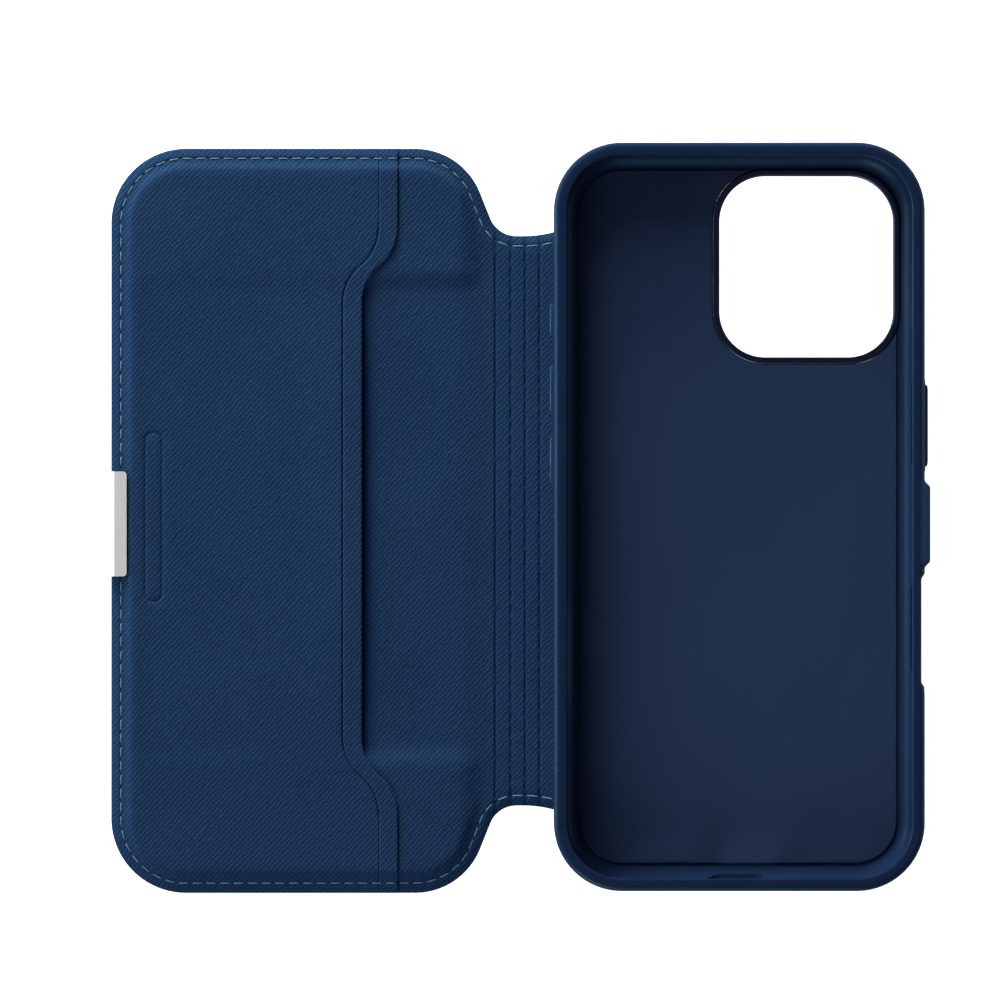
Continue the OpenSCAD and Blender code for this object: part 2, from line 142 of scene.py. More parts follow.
PANEL_DIP = 0.12       # how far the pocket's leather follows the card field
FADE_START = NECK_X - 5.5  # where the padding starts to thin towards the spine
FADE_END = NECK_X + 0.4
THINNEST = 0.12        # least thickness of the inner leather over the board
HAIR = 0.004           # gap that keeps two sheets out of one plane

# Pocket mouth: a straight, an S-bend to each side, and a short straight to the edge
MOUTH_X = -77.71
MOUTH_END_X = -70.28
MOUTH_HALF = 45.0
BEND_L = 15.8
HEM_W = 4.05
HEM_GROOVE = 0.06      # half of the gap between the panel and its hem
HEM_RISE = 0.04

CLASP_LOW, CLASP_HIGH = cad_box("clasp_plate")
CLASP_Y = (CLASP_LOW[1] + CLASP_HIGH[1]) / 2
CLASP_HALF = (CLASP_HIGH[1] - CLASP_LOW[1]) / 2
CLASP_NOTCH = 3.32     # the notch for the clasp in the inner leather and the pocket
BACK_NOTCH = 0.62      # the same in the outer leather
FIT = 0.02             # gap between pieces that fit into each other

# Camera window
WINDOW_LOW, WINDOW_HIGH = cad_box("camera_ring")
WINDOW_X = (WINDOW_LOW[0] + WINDOW_HIGH[0]) / 2
WINDOW_Y = (WINDOW_LOW[1] + WINDOW_HIGH[1]) / 2
WINDOW_HALF_W = 18.0
WINDOW_HALF_L = 18.75
WINDOW_RING = 1.5      # width of the ring
WINDOW_R = 9.5

# Back of the tray
BACK_IN = 3.3          # from the wall's outline to the back's edge
TONGUE_X = -35.5       # where the back's leather meets the spine's


# ---- Curves and distances ----


def smooth(value, start, end):
    """0 before start, 1 after end, and a smooth step between."""
    t = np.clip((value - start) / (end - start), 0, 1)
    return t * t * (3 - 2 * t)


def arc(centre, radius, start, end, step=0.5):
    """Points along an arc, at most step apart. Angles are in degrees."""
    count = max(3, math.ceil(abs(math.radians(end - start)) * radius / step))
    a = np.radians(np.linspace(start, end, count + 1))
    return np.column_stack([centre[0] + radius * np.cos(a), centre[1] + radius * np.sin(a)])


def even(points, step, closed=False):
    """The polyline with its long segments divided, so that no step is longer than step."""
    ends = closed_line(points) if closed else np.asarray(points)
    made = []
    for a, b in zip(ends[:-1], ends[1:]):
        count = max(1, math.ceil(np.hypot(*(b - a)) / step - 1e-6))
        made.append(a + (b - a) * np.linspace(0, 1, count, endpoint=False)[:, None])
    if not closed:
        made.append(ends[-1:])
    return np.vstack(made)


def round_rect(cx, cy, half_w, half_l, radius, step=0.5):
    """A rounded rectangle, counter-clockwise."""
    x, y = half_w - radius, half_l - radius
    corners = [((cx + x, cy - y), 270), ((cx + x, cy + y), 0), ((cx - x, cy + y), 90),
               ((cx - x, cy - y), 180)]
    return np.vstack([arc(c, radius, a, a + 90, step) for c, a in corners])


def hide_half(inset=0.0):
    """Upper edge of cover and spine from the free edge to the tray; y is from their centre line."""
    free = (FREE_X + FREE_R, COVER_HALF - FREE_R)
    inner = np.array([NECK_X - INNER_R, COVER_HALF - INNER_R])
    hollow = np.array([HOLLOW_X, SPINE_HALF + HOLLOW_R])
    dx, dy = hollow - inner
    turn = math.degrees(math.atan2(dy, dx) + math.acos((INNER_R + HOLLOW_R) / math.hypot(dx, dy)))
    widen = math.degrees(math.acos(1 - FLARE_RISE / FLARE_R))
    end = np.array([[TUCK_END, SPINE_HALF + FLARE_RISE - inset]])
    return np.vstack([
        arc(free, FREE_R - inset, 180, 90),
        arc(inner, INNER_R - inset, 90, turn),
        arc(hollow, HOLLOW_R + inset, turn + 180, 270),
        arc((FLARE_X, SPINE_HALF + FLARE_R), FLARE_R + inset, 270, 270 + widen),
        end,
    ])


def cut_half(x0, x1, inset=0.0):
    """The part of the upper edge between two values of x."""
    chain = hide_half(inset)
    middle = chain[(chain[:, 0] > x0 + 1e-6) & (chain[:, 0] < x1 - 1e-6)]
    first = [] if x0 <= chain[0, 0] else [[x0, np.interp(x0, chain[:, 0], chain[:, 1])]]
    last = [[x1, np.interp(x1, chain[:, 0], chain[:, 1])]]
    return np.vstack([np.array(first).reshape(-1, 2), middle, last])


def hide_outline(x0, x1, inset=0.0):
    """Closed outline, counter-clockwise, of the hide between two values of x."""
    top = cut_half(x0, x1, inset)
    low = top * [1, -1]
    return np.vstack([low, top[::-1]]) + [0, COVER_Y]


def hide_edge(x0=BEYOND, x1=None):
    """The hide's real edge as one open line round the free edge, or as two lines on the spine."""
    top = cut_half(x0, TUCK_END if x1 is None else x1)
    if x0 <= FREE_X:
        return [even(np.vstack([(top * [1, -1])[::-1], top]) + [0, COVER_Y], 0.5)]
    return [even(line, 0.5) for line in both_edges(top)]


def inside(points, polygon):
    """Which points lie inside a closed polygon."""
    x, y = points[:, 0], points[:, 1]
    found = np.zeros(len(points), bool)
    for (x0, y0), (x1, y1) in zip(polygon, np.roll(polygon, -1, axis=0)):
        if y0 != y1:
            crosses = (y0 > y) != (y1 > y)
            found ^= crosses & (x < x0 + (y - y0) * (x1 - x0) / (y1 - y0))
    return found


def search_tree(points):
    """A tree that finds the nearest of some points."""
    tree = KDTree(len(points))
    for k, p in enumerate(points):
        tree.insert((p[0], p[1], 0), k)
    tree.balance()
    return tree


def line_distance(points, line):
    """Distance from points to a polyline with short, even steps."""
    tree = search_tree(line)
    near = np.array([tree.find((p[0], p[1], 0))[1] for p in points])
    best = np.full(len(points), np.inf)
    for shift in (-1, 0):
        a = line[np.clip(near + shift, 0, len(line) - 2)]
        b = line[np.clip(near + shift, 0, len(line) - 2) + 1]
        ab = b - a
        t = np.clip(((points - a) * ab).sum(1) / np.maximum((ab * ab).sum(1), 1e-12), 0, 1)
        best = np.minimum(best, np.hypot(*(points - a - ab * t[:, None]).T))
    return best


def closed_line(points):
    """A closed outline as a polyline that ends where it starts."""
    return np.vstack([points, points[:1]])


def both_edges(top):
    """The hide's upper and lower edge, from the upper one measured from their centre line."""
    return top + [0, COVER_Y], top * [1, -1] + [0, COVER_Y]


def lines_distance(points, lines):
    """Distance from points to the nearest of some polylines."""
    return np.min([line_distance(points, line) for line in lines], axis=0)


HIDE_EDGE = hide_edge()


def hide_distance(x, y):
    """Distance from the edge of cover and spine."""
    return lines_distance(np.column_stack([x, y]), HIDE_EDGE)


# ---- Sheets ----


def line_normals(line):
    """Unit normals to the left of a line."""
    ahead = np.gradient(line, axis=0)
    ahead /= np.maximum(np.hypot(ahead[:, 0], ahead[:, 1]), 1e-9)[:, None]
    return np.column_stack([-ahead[:, 1], ahead[:, 0]])


def beside(line, distances):
    """Points on both sides of a line, at the given distances."""
    normals = line_normals(line)
    return np.vstack([line + normals * s * d for d in distances for s in (-1, 1)])


def fillet(distance, radius):
    """How far a rounded edge lies below the surface."""
    t = np.clip(radius - distance, 0, radius)
    return radius - np.sqrt(np.maximum(radius * radius - t * t, 0))


def far_from(points, others, gap):
    """The points that are at least gap away from all the others."""
    if not len(others) or not len(points):
        return points
    tree = search_tree(others)
    return points[np.array([tree.find((p[0], p[1], 0))[2] > gap for p in points])]


def within(points, edges):
    """Which points lie inside the first closed outline and outside the others."""
    keep = inside(points, edges[0])
    for hole in edges[1:]:
        keep &= ~inside(points, hole)
    return keep


def plan_mesh(outline, holes, lines, rings, guides, spacing, step):
    """Points and triangles that fill an outline: rings beside lines, guide points and a grid."""
    edges = [even(e, step, True) for e in (outline, *holes)]
    closed = [closed_line(e) for e in edges]
    fixed = np.vstack(edges)

    def allowed(points, gap):
        points = points[within(points, edges)]
        return points[lines_distance(points, closed) > gap] if len(points) else points

    extra = np.zeros((0, 2))
    for d in rings:
        ring = np.vstack([beside(line, [d]) for line in lines])
        ring = allowed(ring, min(0.04, d * 0.5))
        ring = ring[lines_distance(ring, lines) > d * 0.97] if len(ring) else ring
        extra = np.vstack([extra, ring])
    if len(guides):
        inner = allowed(np.asarray(guides), 0.1)
        extra = np.vstack([far_from(extra, inner, 0.06), inner])
    low, high = edges[0].min(0), edges[0].max(0)
    gx, gy = np.meshgrid(np.arange(low[0] + spacing / 2, high[0], spacing),
                         np.arange(low[1] + spacing / 2, high[1], spacing))
    grid = allowed(np.column_stack([gx.ravel(), gy.ravel()]), spacing * 0.5)
    grid = far_from(grid, extra, spacing * 0.55)
    points = np.vstack([fixed, extra, grid])
    constraints = []
    start = 0
    for edge in edges:
        n = len(edge)
        constraints += [(start + k, start + (k + 1) % n) for k in range(n)]
        start += n
    found = delaunay_2d_cdt([Vector(p) for p in points], constraints, [], 1, 1e-5, False)
    flat = np.array([list(v) for v in found[0]])
    faces = np.array([list(f) for f in found[2]])
    faces = faces[within(flat[faces].mean(1), edges)]
    a, b, c = (flat[faces[:, k]] for k in range(3))
    area = (b[:, 0] - a[:, 0]) * (c[:, 1] - a[:, 1]) - (b[:, 1] - a[:, 1]) * (c[:, 0] - a[:, 0])
    faces[area < 0] = faces[area < 0][:, ::-1]
    return flat, faces[np.abs(area) > 1e-9]


def rim_edges(faces):
    """Directed edges that belong to one triangle only."""
    pairs = np.vstack([faces[:, [0, 1]], faces[:, [1, 2]], faces[:, [2, 0]]])
    known = {(int(a), int(b)) for a, b in pairs}
    return [(a, b) for a, b in known if (b, a) not in known]


def new_object(name, vertices, faces, material, sharp=40):
    """A smooth-shaded mesh object from points in millimetres."""
    mesh = bpy.data.meshes.new(name)
    mesh.from_pydata((np.asarray(vertices) * MM).tolist(), [], faces)
    mesh.validate()
    obj = bpy.data.objects.new(name, mesh)
    bpy.context.scene.collection.objects.link(obj)
    finish_mesh(obj, material, sharp)
    return obj


def mesh_points(mesh):
    """The mesh's points, in millimetres."""
    co = np.zeros(len(mesh.vertices) * 3, np.float32)
    mesh.vertices.foreach_get("co", co)
    return co.reshape(-1, 3) / MM


def dress(obj, material):
    """Gives the mesh its material, and the rest attribute that the material's pattern needs."""
    mesh = obj.data
    mesh.materials.clear()
    mesh.materials.append(material)
    rest = mesh.attributes.get("rest") or mesh.attributes.new("rest", "FLOAT_VECTOR", "POINT")
    rest.data.foreach_set("vector", mesh_points(mesh).ravel())


def finish_mesh(obj, material, sharp=40):
    """Smooth shading with sharp edges, and the material."""
    obj.data.shade_smooth()
    obj.data.set_sharp_from_angle(angle=math.radians(sharp))
    dress(obj, material)


def stand_for(obj, node, body):
    """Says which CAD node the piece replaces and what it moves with."""
    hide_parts(node)
    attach(obj, body)


def mark(obj, name, amount):
    """Stores a value between 0 and 1 at each point; amount is a function of x and y."""
    mesh = obj.data
    co = mesh_points(mesh)
    values = np.clip(amount(co[:, 0], co[:, 1]), 0, 1).astype(np.float32)
    mesh.attributes.new(name, "FLOAT", "POINT").data.foreach_set("value", values)


ROUND_SHARE = 0.46     # the largest share of a sheet's thickness that each face's rounding takes


def sheet(name, outline, top, bottom, material, lines=None, holes=(), rings=(), guides=(),
          spacing=1.1, step=0.6, rounded=0.2, sharp=40):
    """A closed sheet between two height functions. It is rounded along lines, which are its
    whole outline where they aren't given."""
    if lines is None:
        lines = [closed_line(even(e, step, True)) for e in (outline, *holes)]
    turns = [rounded * s for s in (0.13, 0.5, 1.0)] if rounded else []
    flat, tris = plan_mesh(outline, holes, lines, turns + list(rings), guides, spacing, step)
    x, y = flat[:, 0], flat[:, 1]
    high, low = top(x, y), bottom(x, y)
    drop = fillet(lines_distance(flat, lines), rounded) if rounded else np.zeros(len(flat))
    drop = np.minimum(drop, ROUND_SHARE * (high - low))
    upper = np.column_stack([flat, high - drop])
    lower = np.column_stack([flat, low + drop])
    n = len(flat)
    faces = tris.tolist() + (tris[:, ::-1] + n).tolist()
    faces += [(b, a, a + n, b + n) for a, b in sorted(rim_edges(tris))]
    return new_object(name, np.vstack([upper, lower]), faces, material, sharp)


def level(z):
    """A height function that is the same everywhere."""
    return lambda x, y: np.full(len(x), float(z))


# ---- Materials ----


def feed(tree, socket, value):
    """Links a socket to another one, or sets its own value."""
    if isinstance(value, bpy.types.NodeSocket):
        tree.links.new(value, socket)
    else:
        socket.default_value = value


def wire(tree, node, **inputs):
    """Feeds a node's inputs, given by name with _ for a space."""
    for name, value in inputs.items():
        feed(tree, node.inputs[name.replace("_", " ")], value)


def put(tree, kind, settings=None, **inputs):
    """Adds a node with its settings and inputs."""
    node = tree.nodes.new(kind)
    for name, value in (settings or {}).items():
        setattr(node, name, value)
    wire(tree, node, **inputs)
    return node


def maths(tree, operation, a, b):
    node = tree.nodes.new("ShaderNodeMath")
    node.operation = operation
    for socket, value in zip(node.inputs, (a, b)):
        feed(tree, socket, value)
    return node.outputs[0]


def plus(tree, a, b):
    return maths(tree, "ADD", a, b)


def times(tree, a, b):
    return maths(tree, "MULTIPLY", a, b)


def blend_colours(tree, factor, a, b):
    """Mixes two colours, each a socket or a red, green and blue."""
    node = tree.nodes.new("ShaderNodeMix")
    node.data_type = "RGBA"
    for name, kind, value in (("Factor", "VALUE", factor), ("A", "RGBA", a), ("B", "RGBA", b)):
        socket = next(s for s in node.inputs if s.name == name and s.type == kind)
        feed(tree, socket, (*value, 1) if isinstance(value, tuple) else value)
    return next(s for s in node.outputs if s.type == "RGBA")


def spread(tree, value, low, high, start=0.0, end=1.0, kind="LINEAR"):
    """Maps the range from start to end onto the range from low to high."""
    return put(tree, "ShaderNodeMapRange", {"interpolation_type": kind}, Value=value,
               From_Min=start, From_Max=end, To_Min=low, To_Max=high).outputs[0]


def attribute(tree, name):
    return put(tree, "ShaderNodeAttribute", {"attribute_name": name}).outputs


def new_material(name, **values):
    material = bpy.data.materials.new(name)
    material.use_nodes = True
    tree = material.node_tree
    shader = tree.nodes["Principled BSDF"]
    for key, value in values.items():
        shader.inputs[key.replace("_", " ")].default_value = value
    return material, tree, shader


def rest_place(tree, scale=(1, 1, 1), turn=0.0):
    """The point's place on the resting object, in millimetres, turned about Z and scaled."""
    place = attribute(tree, "rest")["Vector"]
    turned = put(tree, "ShaderNodeMapping", Vector=place, Rotation=(0, 0, turn)).outputs[0]
    return put(tree, "ShaderNodeMapping", Vector=turned, Scale=scale).outputs[0]


def noise(tree, place, scale, detail=2.0, rough=0.5):
    return put(tree, "ShaderNodeTexNoise", Vector=place, Scale=scale, Detail=detail,
               Roughness=rough).outputs["Fac"]


def bump(tree, height, depth):
    """A normal from a height; depth is in millimetres."""
    return put(tree, "ShaderNodeBump", Height=height, Distance=depth * MM,
               Strength=1.0).outputs[0]


WAVE_UNIT = 2 * math.pi / 20   # a Wave Texture of scale 1 has bands this far apart


def bands(tree, place, direction, pitch, distortion, detail_scale=1.0):
    """Soft wavering lines across X or Y, a pitch apart."""
    settings = {"wave_type": "BANDS", "bands_direction": direction}
    return put(tree, "ShaderNodeTexWave", settings, Vector=place, Scale=WAVE_UNIT / pitch,
               Distortion=distortion, Detail=2.0, Detail_Scale=detail_scale).outputs["Fac"]


GRAIN_PITCH = 0.79
GRAIN_TURN = -math.radians(47)


def leather_material(name, dark, light, depth=0.045):
    """Cross-grain leather: broken slanting ridges with finer cuts across them. Where the mesh's
    pressed attribute is 1 the grain is flattened and the colour darker: the flattening is real, the
    darkening is partly painted shade in the creases and a painted shadow beside the pocket's mouth."""
    material, tree, shader = new_material(name, Specular_IOR_Level=0.0)
    grain = rest_place(tree, turn=GRAIN_TURN)
    ridges = bands(tree, grain, "Y", GRAIN_PITCH, 3.4, 1.5)
    cuts = bands(tree, grain, "X", GRAIN_PITCH * 0.9, 2.4, 1.4)
    stretched = rest_place(tree, scale=(0.35, 1.0, 1.0), turn=GRAIN_TURN)
    broken = noise(tree, stretched, 1.3, 3.0)
    strong = times(tree, ridges, plus(tree, times(tree, broken, 0.9), 0.3))
    crossed = times(tree, cuts, plus(tree, times(tree, broken, 0.5), 0.12))
    fine = noise(tree, rest_place(tree), 9.0, 3.0)
    relief = plus(tree, plus(tree, strong, crossed), times(tree, fine, 0.25))
    # pressed flattens the grain and pulls the colour to the dark tone: partly painted shade
    standing = maths(tree, "SUBTRACT", 1.0, attribute(tree, "pressed")["Fac"])
    relief = times(tree, relief, standing)
    tone = spread(tree, relief, 0.0, 1.0, 0.25, 1.15, "SMOOTHSTEP")
    patches = noise(tree, rest_place(tree), 0.035, 2.0)
    shade = plus(tree, times(tree, tone, 0.7), times(tree, patches, 0.4))
    colour = blend_colours(tree, maths(tree, "MINIMUM", shade, 1.0), dark, light)
    wire(tree, shader, Base_Color=colour, Roughness=spread(tree, relief, 0.68, 0.52),
         Normal=bump(tree, relief, depth))
    return material


def moulded_material(name, colour, rough, speck=0.012, specular=0.4):
    """Soft moulding: an even colour with a very fine matte texture. Where a mesh marks it, the
    colour is painted paler: a painted highlight."""
    material, tree, shader = new_material(name, Specular_IOR_Level=specular,
                                          Specular_Tint=(0.2, 0.7, 1.0, 1))
    place = rest_place(tree)
    lighter = tuple(min(1.0, c * 1.25) for c in colour)
    mixed = blend_colours(tree, noise(tree, place, 0.12, 2.0), colour, lighter)
    # A painted highlight: the colour is made paler where the mesh marks it
    painted_highlight_colour = tuple(c * k for c, k in zip(colour, (2.4, 2.6, 1.9)))
    mixed = blend_colours(tree, attribute(tree, "painted_shading")["Fac"], mixed, painted_highlight_colour)
    fine = noise(tree, place, 14.0, 2.0)
    wire(tree, shader, Base_Color=mixed, Roughness=spread(tree, fine, rough - 0.06, rough + 0.06),
         Normal=bump(tree, fine, speck))
    return material


def thread_material(name, colour):
    """Waxed thread with a visible twist."""
    material, tree, shader = new_material(name, Roughness=0.4, Specular_IOR_Level=0.7,
                                          Specular_Tint=(0.4, 0.75, 1.0, 1))
    twist = bands(tree, rest_place(tree, turn=-math.pi / 5), "X", 0.3, 0.5)
    darker = tuple(c * 0.6 for c in colour)
    wire(tree, shader, Base_Color=blend_colours(tree, twist, darker, colour),
         Normal=bump(tree, twist, 0.04))
    return material


def cloth_material(name, colour, nap=0.05):
    """Short-napped cloth, foam or pressed fibre."""
    material, tree, shader = new_material(name, Roughness=0.95, Specular_IOR_Level=0.15,
                                          Sheen_Weight=0.15, Sheen_Roughness=0.5,
                                          Sheen_Tint=(0.3, 0.5, 0.85, 1))
    fibres = noise(tree, rest_place(tree), 5.0, 4.0, 0.7)
    brushed = noise(tree, rest_place(tree, scale=(1.0, 0.25, 1.0), turn=0.3), 0.08, 3.0)
    mixed = plus(tree, times(tree, fibres, 0.6), times(tree, brushed, 0.4))
    lighter = tuple(c * 1.7 for c in colour)
    wire(tree, shader, Base_Color=blend_colours(tree, mixed, colour, lighter),
         Normal=bump(tree, fibres, nap))
    return material


def metal_material(name, colour, rough, brush=(1.0, 1.0, 1.0), metallic=1.0):
    """Satin metal; brush is the scale of its marks along each axis."""
    material, tree, shader = new_material(name, Metallic=metallic)
    marks = noise(tree, rest_place(tree, scale=brush), 12.0, 3.0, 0.6)
    darker = tuple(c * 0.88 for c in colour)
    wire(tree, shader, Base_Color=blend_colours(tree, marks, darker, colour),
         Roughness=spread(tree, marks, rough - 0.05, rough + 0.07),
         Normal=bump(tree, marks, 0.004))
    return material


LEATHER = leather_material("cross_grain_leather", (0.0071, 0.0222, 0.067), (0.019, 0.0505, 0.117))
THREAD = thread_material("waxed_thread", (0.125, 0.245, 0.34))
SOFT_SHELL = moulded_material("soft_shell", (0.0062, 0.0138, 0.042), 0.45, specular=0.3)
BUTTON = moulded_material("button", (0.0095, 0.022, 0.058), 0.38, specular=0.4)
PLATE = moulded_material("plate", (0.012, 0.013, 0.018), 0.5)
MICROFIBRE = cloth_material("microfibre", (0.012, 0.024, 0.058))
FOAM = cloth_material("closed_cell_foam", (0.03, 0.03, 0.035), 0.12)
BOARD = cloth_material("pressed_board", (0.16, 0.13, 0.09), 0.03)
RING = metal_material("anodised_ring", (0.05, 0.075, 0.13), 0.35)
SILVER = metal_material("satin_clasp", (0.86, 0.86, 0.85), 0.45, (1.0, 0.03, 1.0), 0.4)
STEEL = metal_material("plated_magnet", (0.5, 0.5, 0.52), 0.25)


# ---- Relief of the cover ----


def field_depth(x, y):
    """1 in the sunken field for cards and 0 outside, with soft ramps; open towards the spine."""
    inner_x = x - FIELD_X
    inner_y = FIELD_HALF - np.abs(y - FIELD_Y)
    corner = np.hypot(np.maximum(FIELD_R - inner_x, 0), np.maximum(FIELD_R - inner_y, 0))
    depth = np.where((inner_x < FIELD_R) & (inner_y < FIELD_R), FIELD_R - corner,
                     np.minimum(inner_x, inner_y))
    return smooth(depth, -0.45 * FIELD_RAMP, 0.55 * FIELD_RAMP)


def spine_fade(x):
    """1 on the cover's body, falling to 0 where the cover runs into the spine."""
    return 1 - smooth(x, FADE_START, FADE_END)


def channel(d, depth=CHANNEL):
    """Groove that the stitches lie in."""
    return depth * np.exp(-((d - STITCH_IN) / CHANNEL_W) ** 2)


def crease_grooves(x, depth=CREASE_DEPTH, width=CREASE_W):
    """Grooves along the four creases."""
    return sum(depth * np.exp(-((x - c) / width) ** 2) for c in CREASES)


def pressed_and_shaded_creases(x, y):
    """Where the crease tool has flattened the grain and the crease is painted darker, partly as a
    painted shade: a little wider than the grooves.
    """
    return crease_grooves(x, 1, CREASE_W * 1.5)


def pressed_and_shaded_inside(x, y):
    """Where the inner skin's grain is flat and darker: in the creases, partly painted shade, and
    beside the pocket's mouth, a painted shadow.
    """
    away = x - mouth_x(y)
    across = 1 - smooth(np.abs(y - FIELD_Y), MOUTH_HALF - 1, MOUTH_HALF + 5)
    # A painted shadow on the card field beside the pocket's mouth
    painted_shading = (1 - smooth(away, 0.3, 3.2)) * smooth(away, -3, 0) * across
    return pressed_and_shaded_creases(x, y) + 0.95 * painted_shading


def crown(d):
    """0 on the margin and 1 on the padded frame."""
    return smooth(d, CROWN_START, CROWN_END)


def edge_droop(d):
    """How far the margin falls towards the pressed edge."""
    return EDGE_DROOP * (1 - smooth(d, -0.6, STITCH_IN))


def mouth_dip(x, y):
    """Extra depth of the card field beside the pocket's mouth."""
    away = x - mouth_x(y)
    return MOUTH_DIP * (1 - smooth(away, 0.2, 4.5)) * smooth(away, -6, -3)


def skin_relief(x, y, d):
    """Height of the inner skin above its margin: the padded frame and the sunken card field."""
    field = FIELD_DIP + mouth_dip(x, y)
    return ((CROWN_Z - MARGIN_Z) - field * field_depth(x, y)) * crown(d) * spine_fade(x)


def inner_skin_z(x, y):
    d = hide_distance(x, y)
    return MARGIN_Z + skin_relief(x, y, d) - channel(d) - edge_droop(d) - crease_grooves(x)


def seam_z(d):
    """Height where inner and outer leather meet."""
    return OUTER_T - 0.5 * edge_droop(d)


def under_inner_skin_z(x, y):
    d = hide_distance(x, y)
    relief = skin_relief(x, y, d)
    over_board = np.minimum(BOARD_TOP + HAIR, MARGIN_Z + relief - THINNEST)
    under = np.maximum(OUTER_T + relief, over_board)
    return np.where(relief > 0.02, under, seam_z(d)) + HAIR / 2


def outer_skin_top_z(x, y):
    return seam_z(hide_distance(x, y))


def outer_skin_z(x, y):
    """Underside of the outer leather: flat, with the stitch groove and faint creases."""
    return channel(hide_distance(x, y), BACK_CHANNEL) + crease_grooves(x, BACK_CREASE_DEPTH)


INNER_FACES = (inner_skin_z, under_inner_skin_z)
OUTER_FACES = (outer_skin_top_z, outer_skin_z)


def panel_relief(x, y, d):
    """Height of the pocket's leather above its margin; it bows up a little along its mouth."""
    across = 1 - smooth(np.abs(y - FIELD_Y), MOUTH_HALF - 23, MOUTH_HALF + 2)
    lift = MOUTH_LIFT * across * (1 - smooth(mouth_x(y) - x, 0, LIFT_REACH))
    return (PANEL_Z - MARGIN_Z - INNER_T - PANEL_DIP * field_depth(x, y)) * crown(d) + lift


def panel_z(x, y):
    d = hide_distance(x, y)
    margin = MARGIN_Z + INNER_T
    return margin + panel_relief(x, y, d) - channel(d) - 1.2 * edge_droop(d)


def under_panel_z(x, y):
    d = hide_distance(x, y)
    return MARGIN_Z + HAIR + panel_relief(x, y, d) - edge_droop(d)


def mouth_line(dx=0.0, step=0.5):
    """The pocket's mouth from the cover's lower edge to its upper edge, moved by dx."""
    bend = MOUTH_END_X - MOUTH_X
    radius = (BEND_L ** 2 + bend ** 2) / (4 * bend)
    angle = math.degrees(math.asin(BEND_L / 2 / radius))
    first = arc((MOUTH_X + radius, MOUTH_HALF), radius, 180, 180 - angle, step)
    second = arc((MOUTH_END_X - radius, MOUTH_HALF + BEND_L), radius, -angle, 0, step)
    half = np.vstack([first, second, [[MOUTH_END_X, COVER_HALF + 2]]]) + [dx, 0]
    return np.vstack([(half * [1, -1])[::-1], half]) + [0, COVER_Y]


def inner_mouth(dx):
    """The mouth line between the cover's two long edges."""
    line = mouth_line(dx)
    return line[np.abs(line[:, 1] - COVER_Y) < COVER_HALF - 0.1]


def pocket_outline(right, left=None):
    """Outline of the pocket's leather from the free edge, or from one mouth line, to another."""
    start = BEYOND if left is None else MOUTH_END_X + left
    top = cut_half(start, MOUTH_END_X + right)
    parts = [top * [1, -1] + [0, COVER_Y], inner_mouth(right), top[::-1] + [0, COVER_Y]]
    if left is not None:
        parts.append(inner_mouth(left)[::-1])
    return np.vstack(parts)


def mouth_x(y, dx=0.0):
    """The mouth line's x at a value of y."""
    line = mouth_line(dx)
    return np.interp(y, line[:, 1], line[:, 0])


def notched(outline, depth):
    """The outline with a rectangular notch in its free edge, for the clasp."""
    half = CLASP_HALF + FIT
    at_start = outline[0, 0] > FREE_X + 1e-6
    start = int(np.argmax(outline[:, 0] < FREE_X + 1e-6)) if at_start else 0
    turned = np.roll(outline, -start, axis=0)
    at_edge = np.abs(turned[:, 0] - FREE_X) < 1e-4
    low = turned[at_edge & (turned[:, 1] < CLASP_Y)][:, 1].max()
    high = turned[at_edge & (turned[:, 1] > CLASP_Y)][:, 1].min()
    after = int(np.argmax(at_edge & (turned[:, 1] == high)))
    x = FREE_X + depth
    notch = np.array([[FREE_X, CLASP_Y + half], [x, CLASP_Y + half], [x, CLASP_Y - half],
                      [FREE_X, CLASP_Y - half]])
    assert low < CLASP_Y - half and high > CLASP_Y + half
    return np.vstack([turned[:after + 1], notch, turned[after + 1:]])


# Where the leather pieces meet: at the middle of each rib
MEET = [(a + b) / 2 for a, b in zip([ROOT_X] + CREASES[:-1], CREASES)]
BEND_STEPS = (0, 0.07, 0.15, 0.24, 0.35, 0.5, 0.7, 0.95, 1.25)


def crease_guides(centre, low=-80.0, high=80.0, step=1.4):
    """Columns of points beside a crease, where the leather bends."""
    y = np.arange(low, high, step)
    xs = sorted({centre + s * d for d in BEND_STEPS for s in (-1, 1)})
    return np.array([[x, v] for x in xs for v in y])


# Distances from the edge with rows of points: the margin and its stitch groove, then the shoulder
GROOVE_RINGS = (0.5, 0.9, 1.3, 1.75, 1.9, 2.02, 2.1, 2.18, 2.3, 2.45)
MARGIN_RINGS = GROOVE_RINGS + (2.75, 3.05, 3.4, 3.8, 4.2, 4.65)


# ---- Leather pieces ----


def make_skin(name, nodes, span, faces, crease, spacing, rounded, rings=GROOVE_RINGS,
              notch=None, flat=pressed_and_shaded_creases):
    """A piece of leather between two values of x, with close columns of points beside a crease."""
    # flat marks where the grain is flattened and darker; the darkening is partly painted shade in
    # the creases
    outline = hide_outline(*span)
    if notch is not None:
        outline = notched(outline, notch)
    obj = sheet(name, outline, *faces, LEATHER, lines=hide_edge(*span), rings=rings,
                guides=crease_guides(crease), spacing=spacing, rounded=rounded)
    mark(obj, "pressed", flat)
    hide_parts(*nodes)
    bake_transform(obj)


def make_cover_skins():
    """Inner and outer leather of the cover. Both reach to the middle of the last rib."""
    span = (BEYOND, MEET[-1])
    make_skin("cover_skin", ["cover_inner_leather"], span, INNER_FACES, CREASES[-1],
              1.1, 0.18, MARGIN_RINGS, CLASP_NOTCH, pressed_and_shaded_inside)
    make_skin("cover_back", ["cover_outer_leather"], span, OUTER_FACES, CREASES[-1],
              1.8, 0.25, notch=BACK_NOTCH)


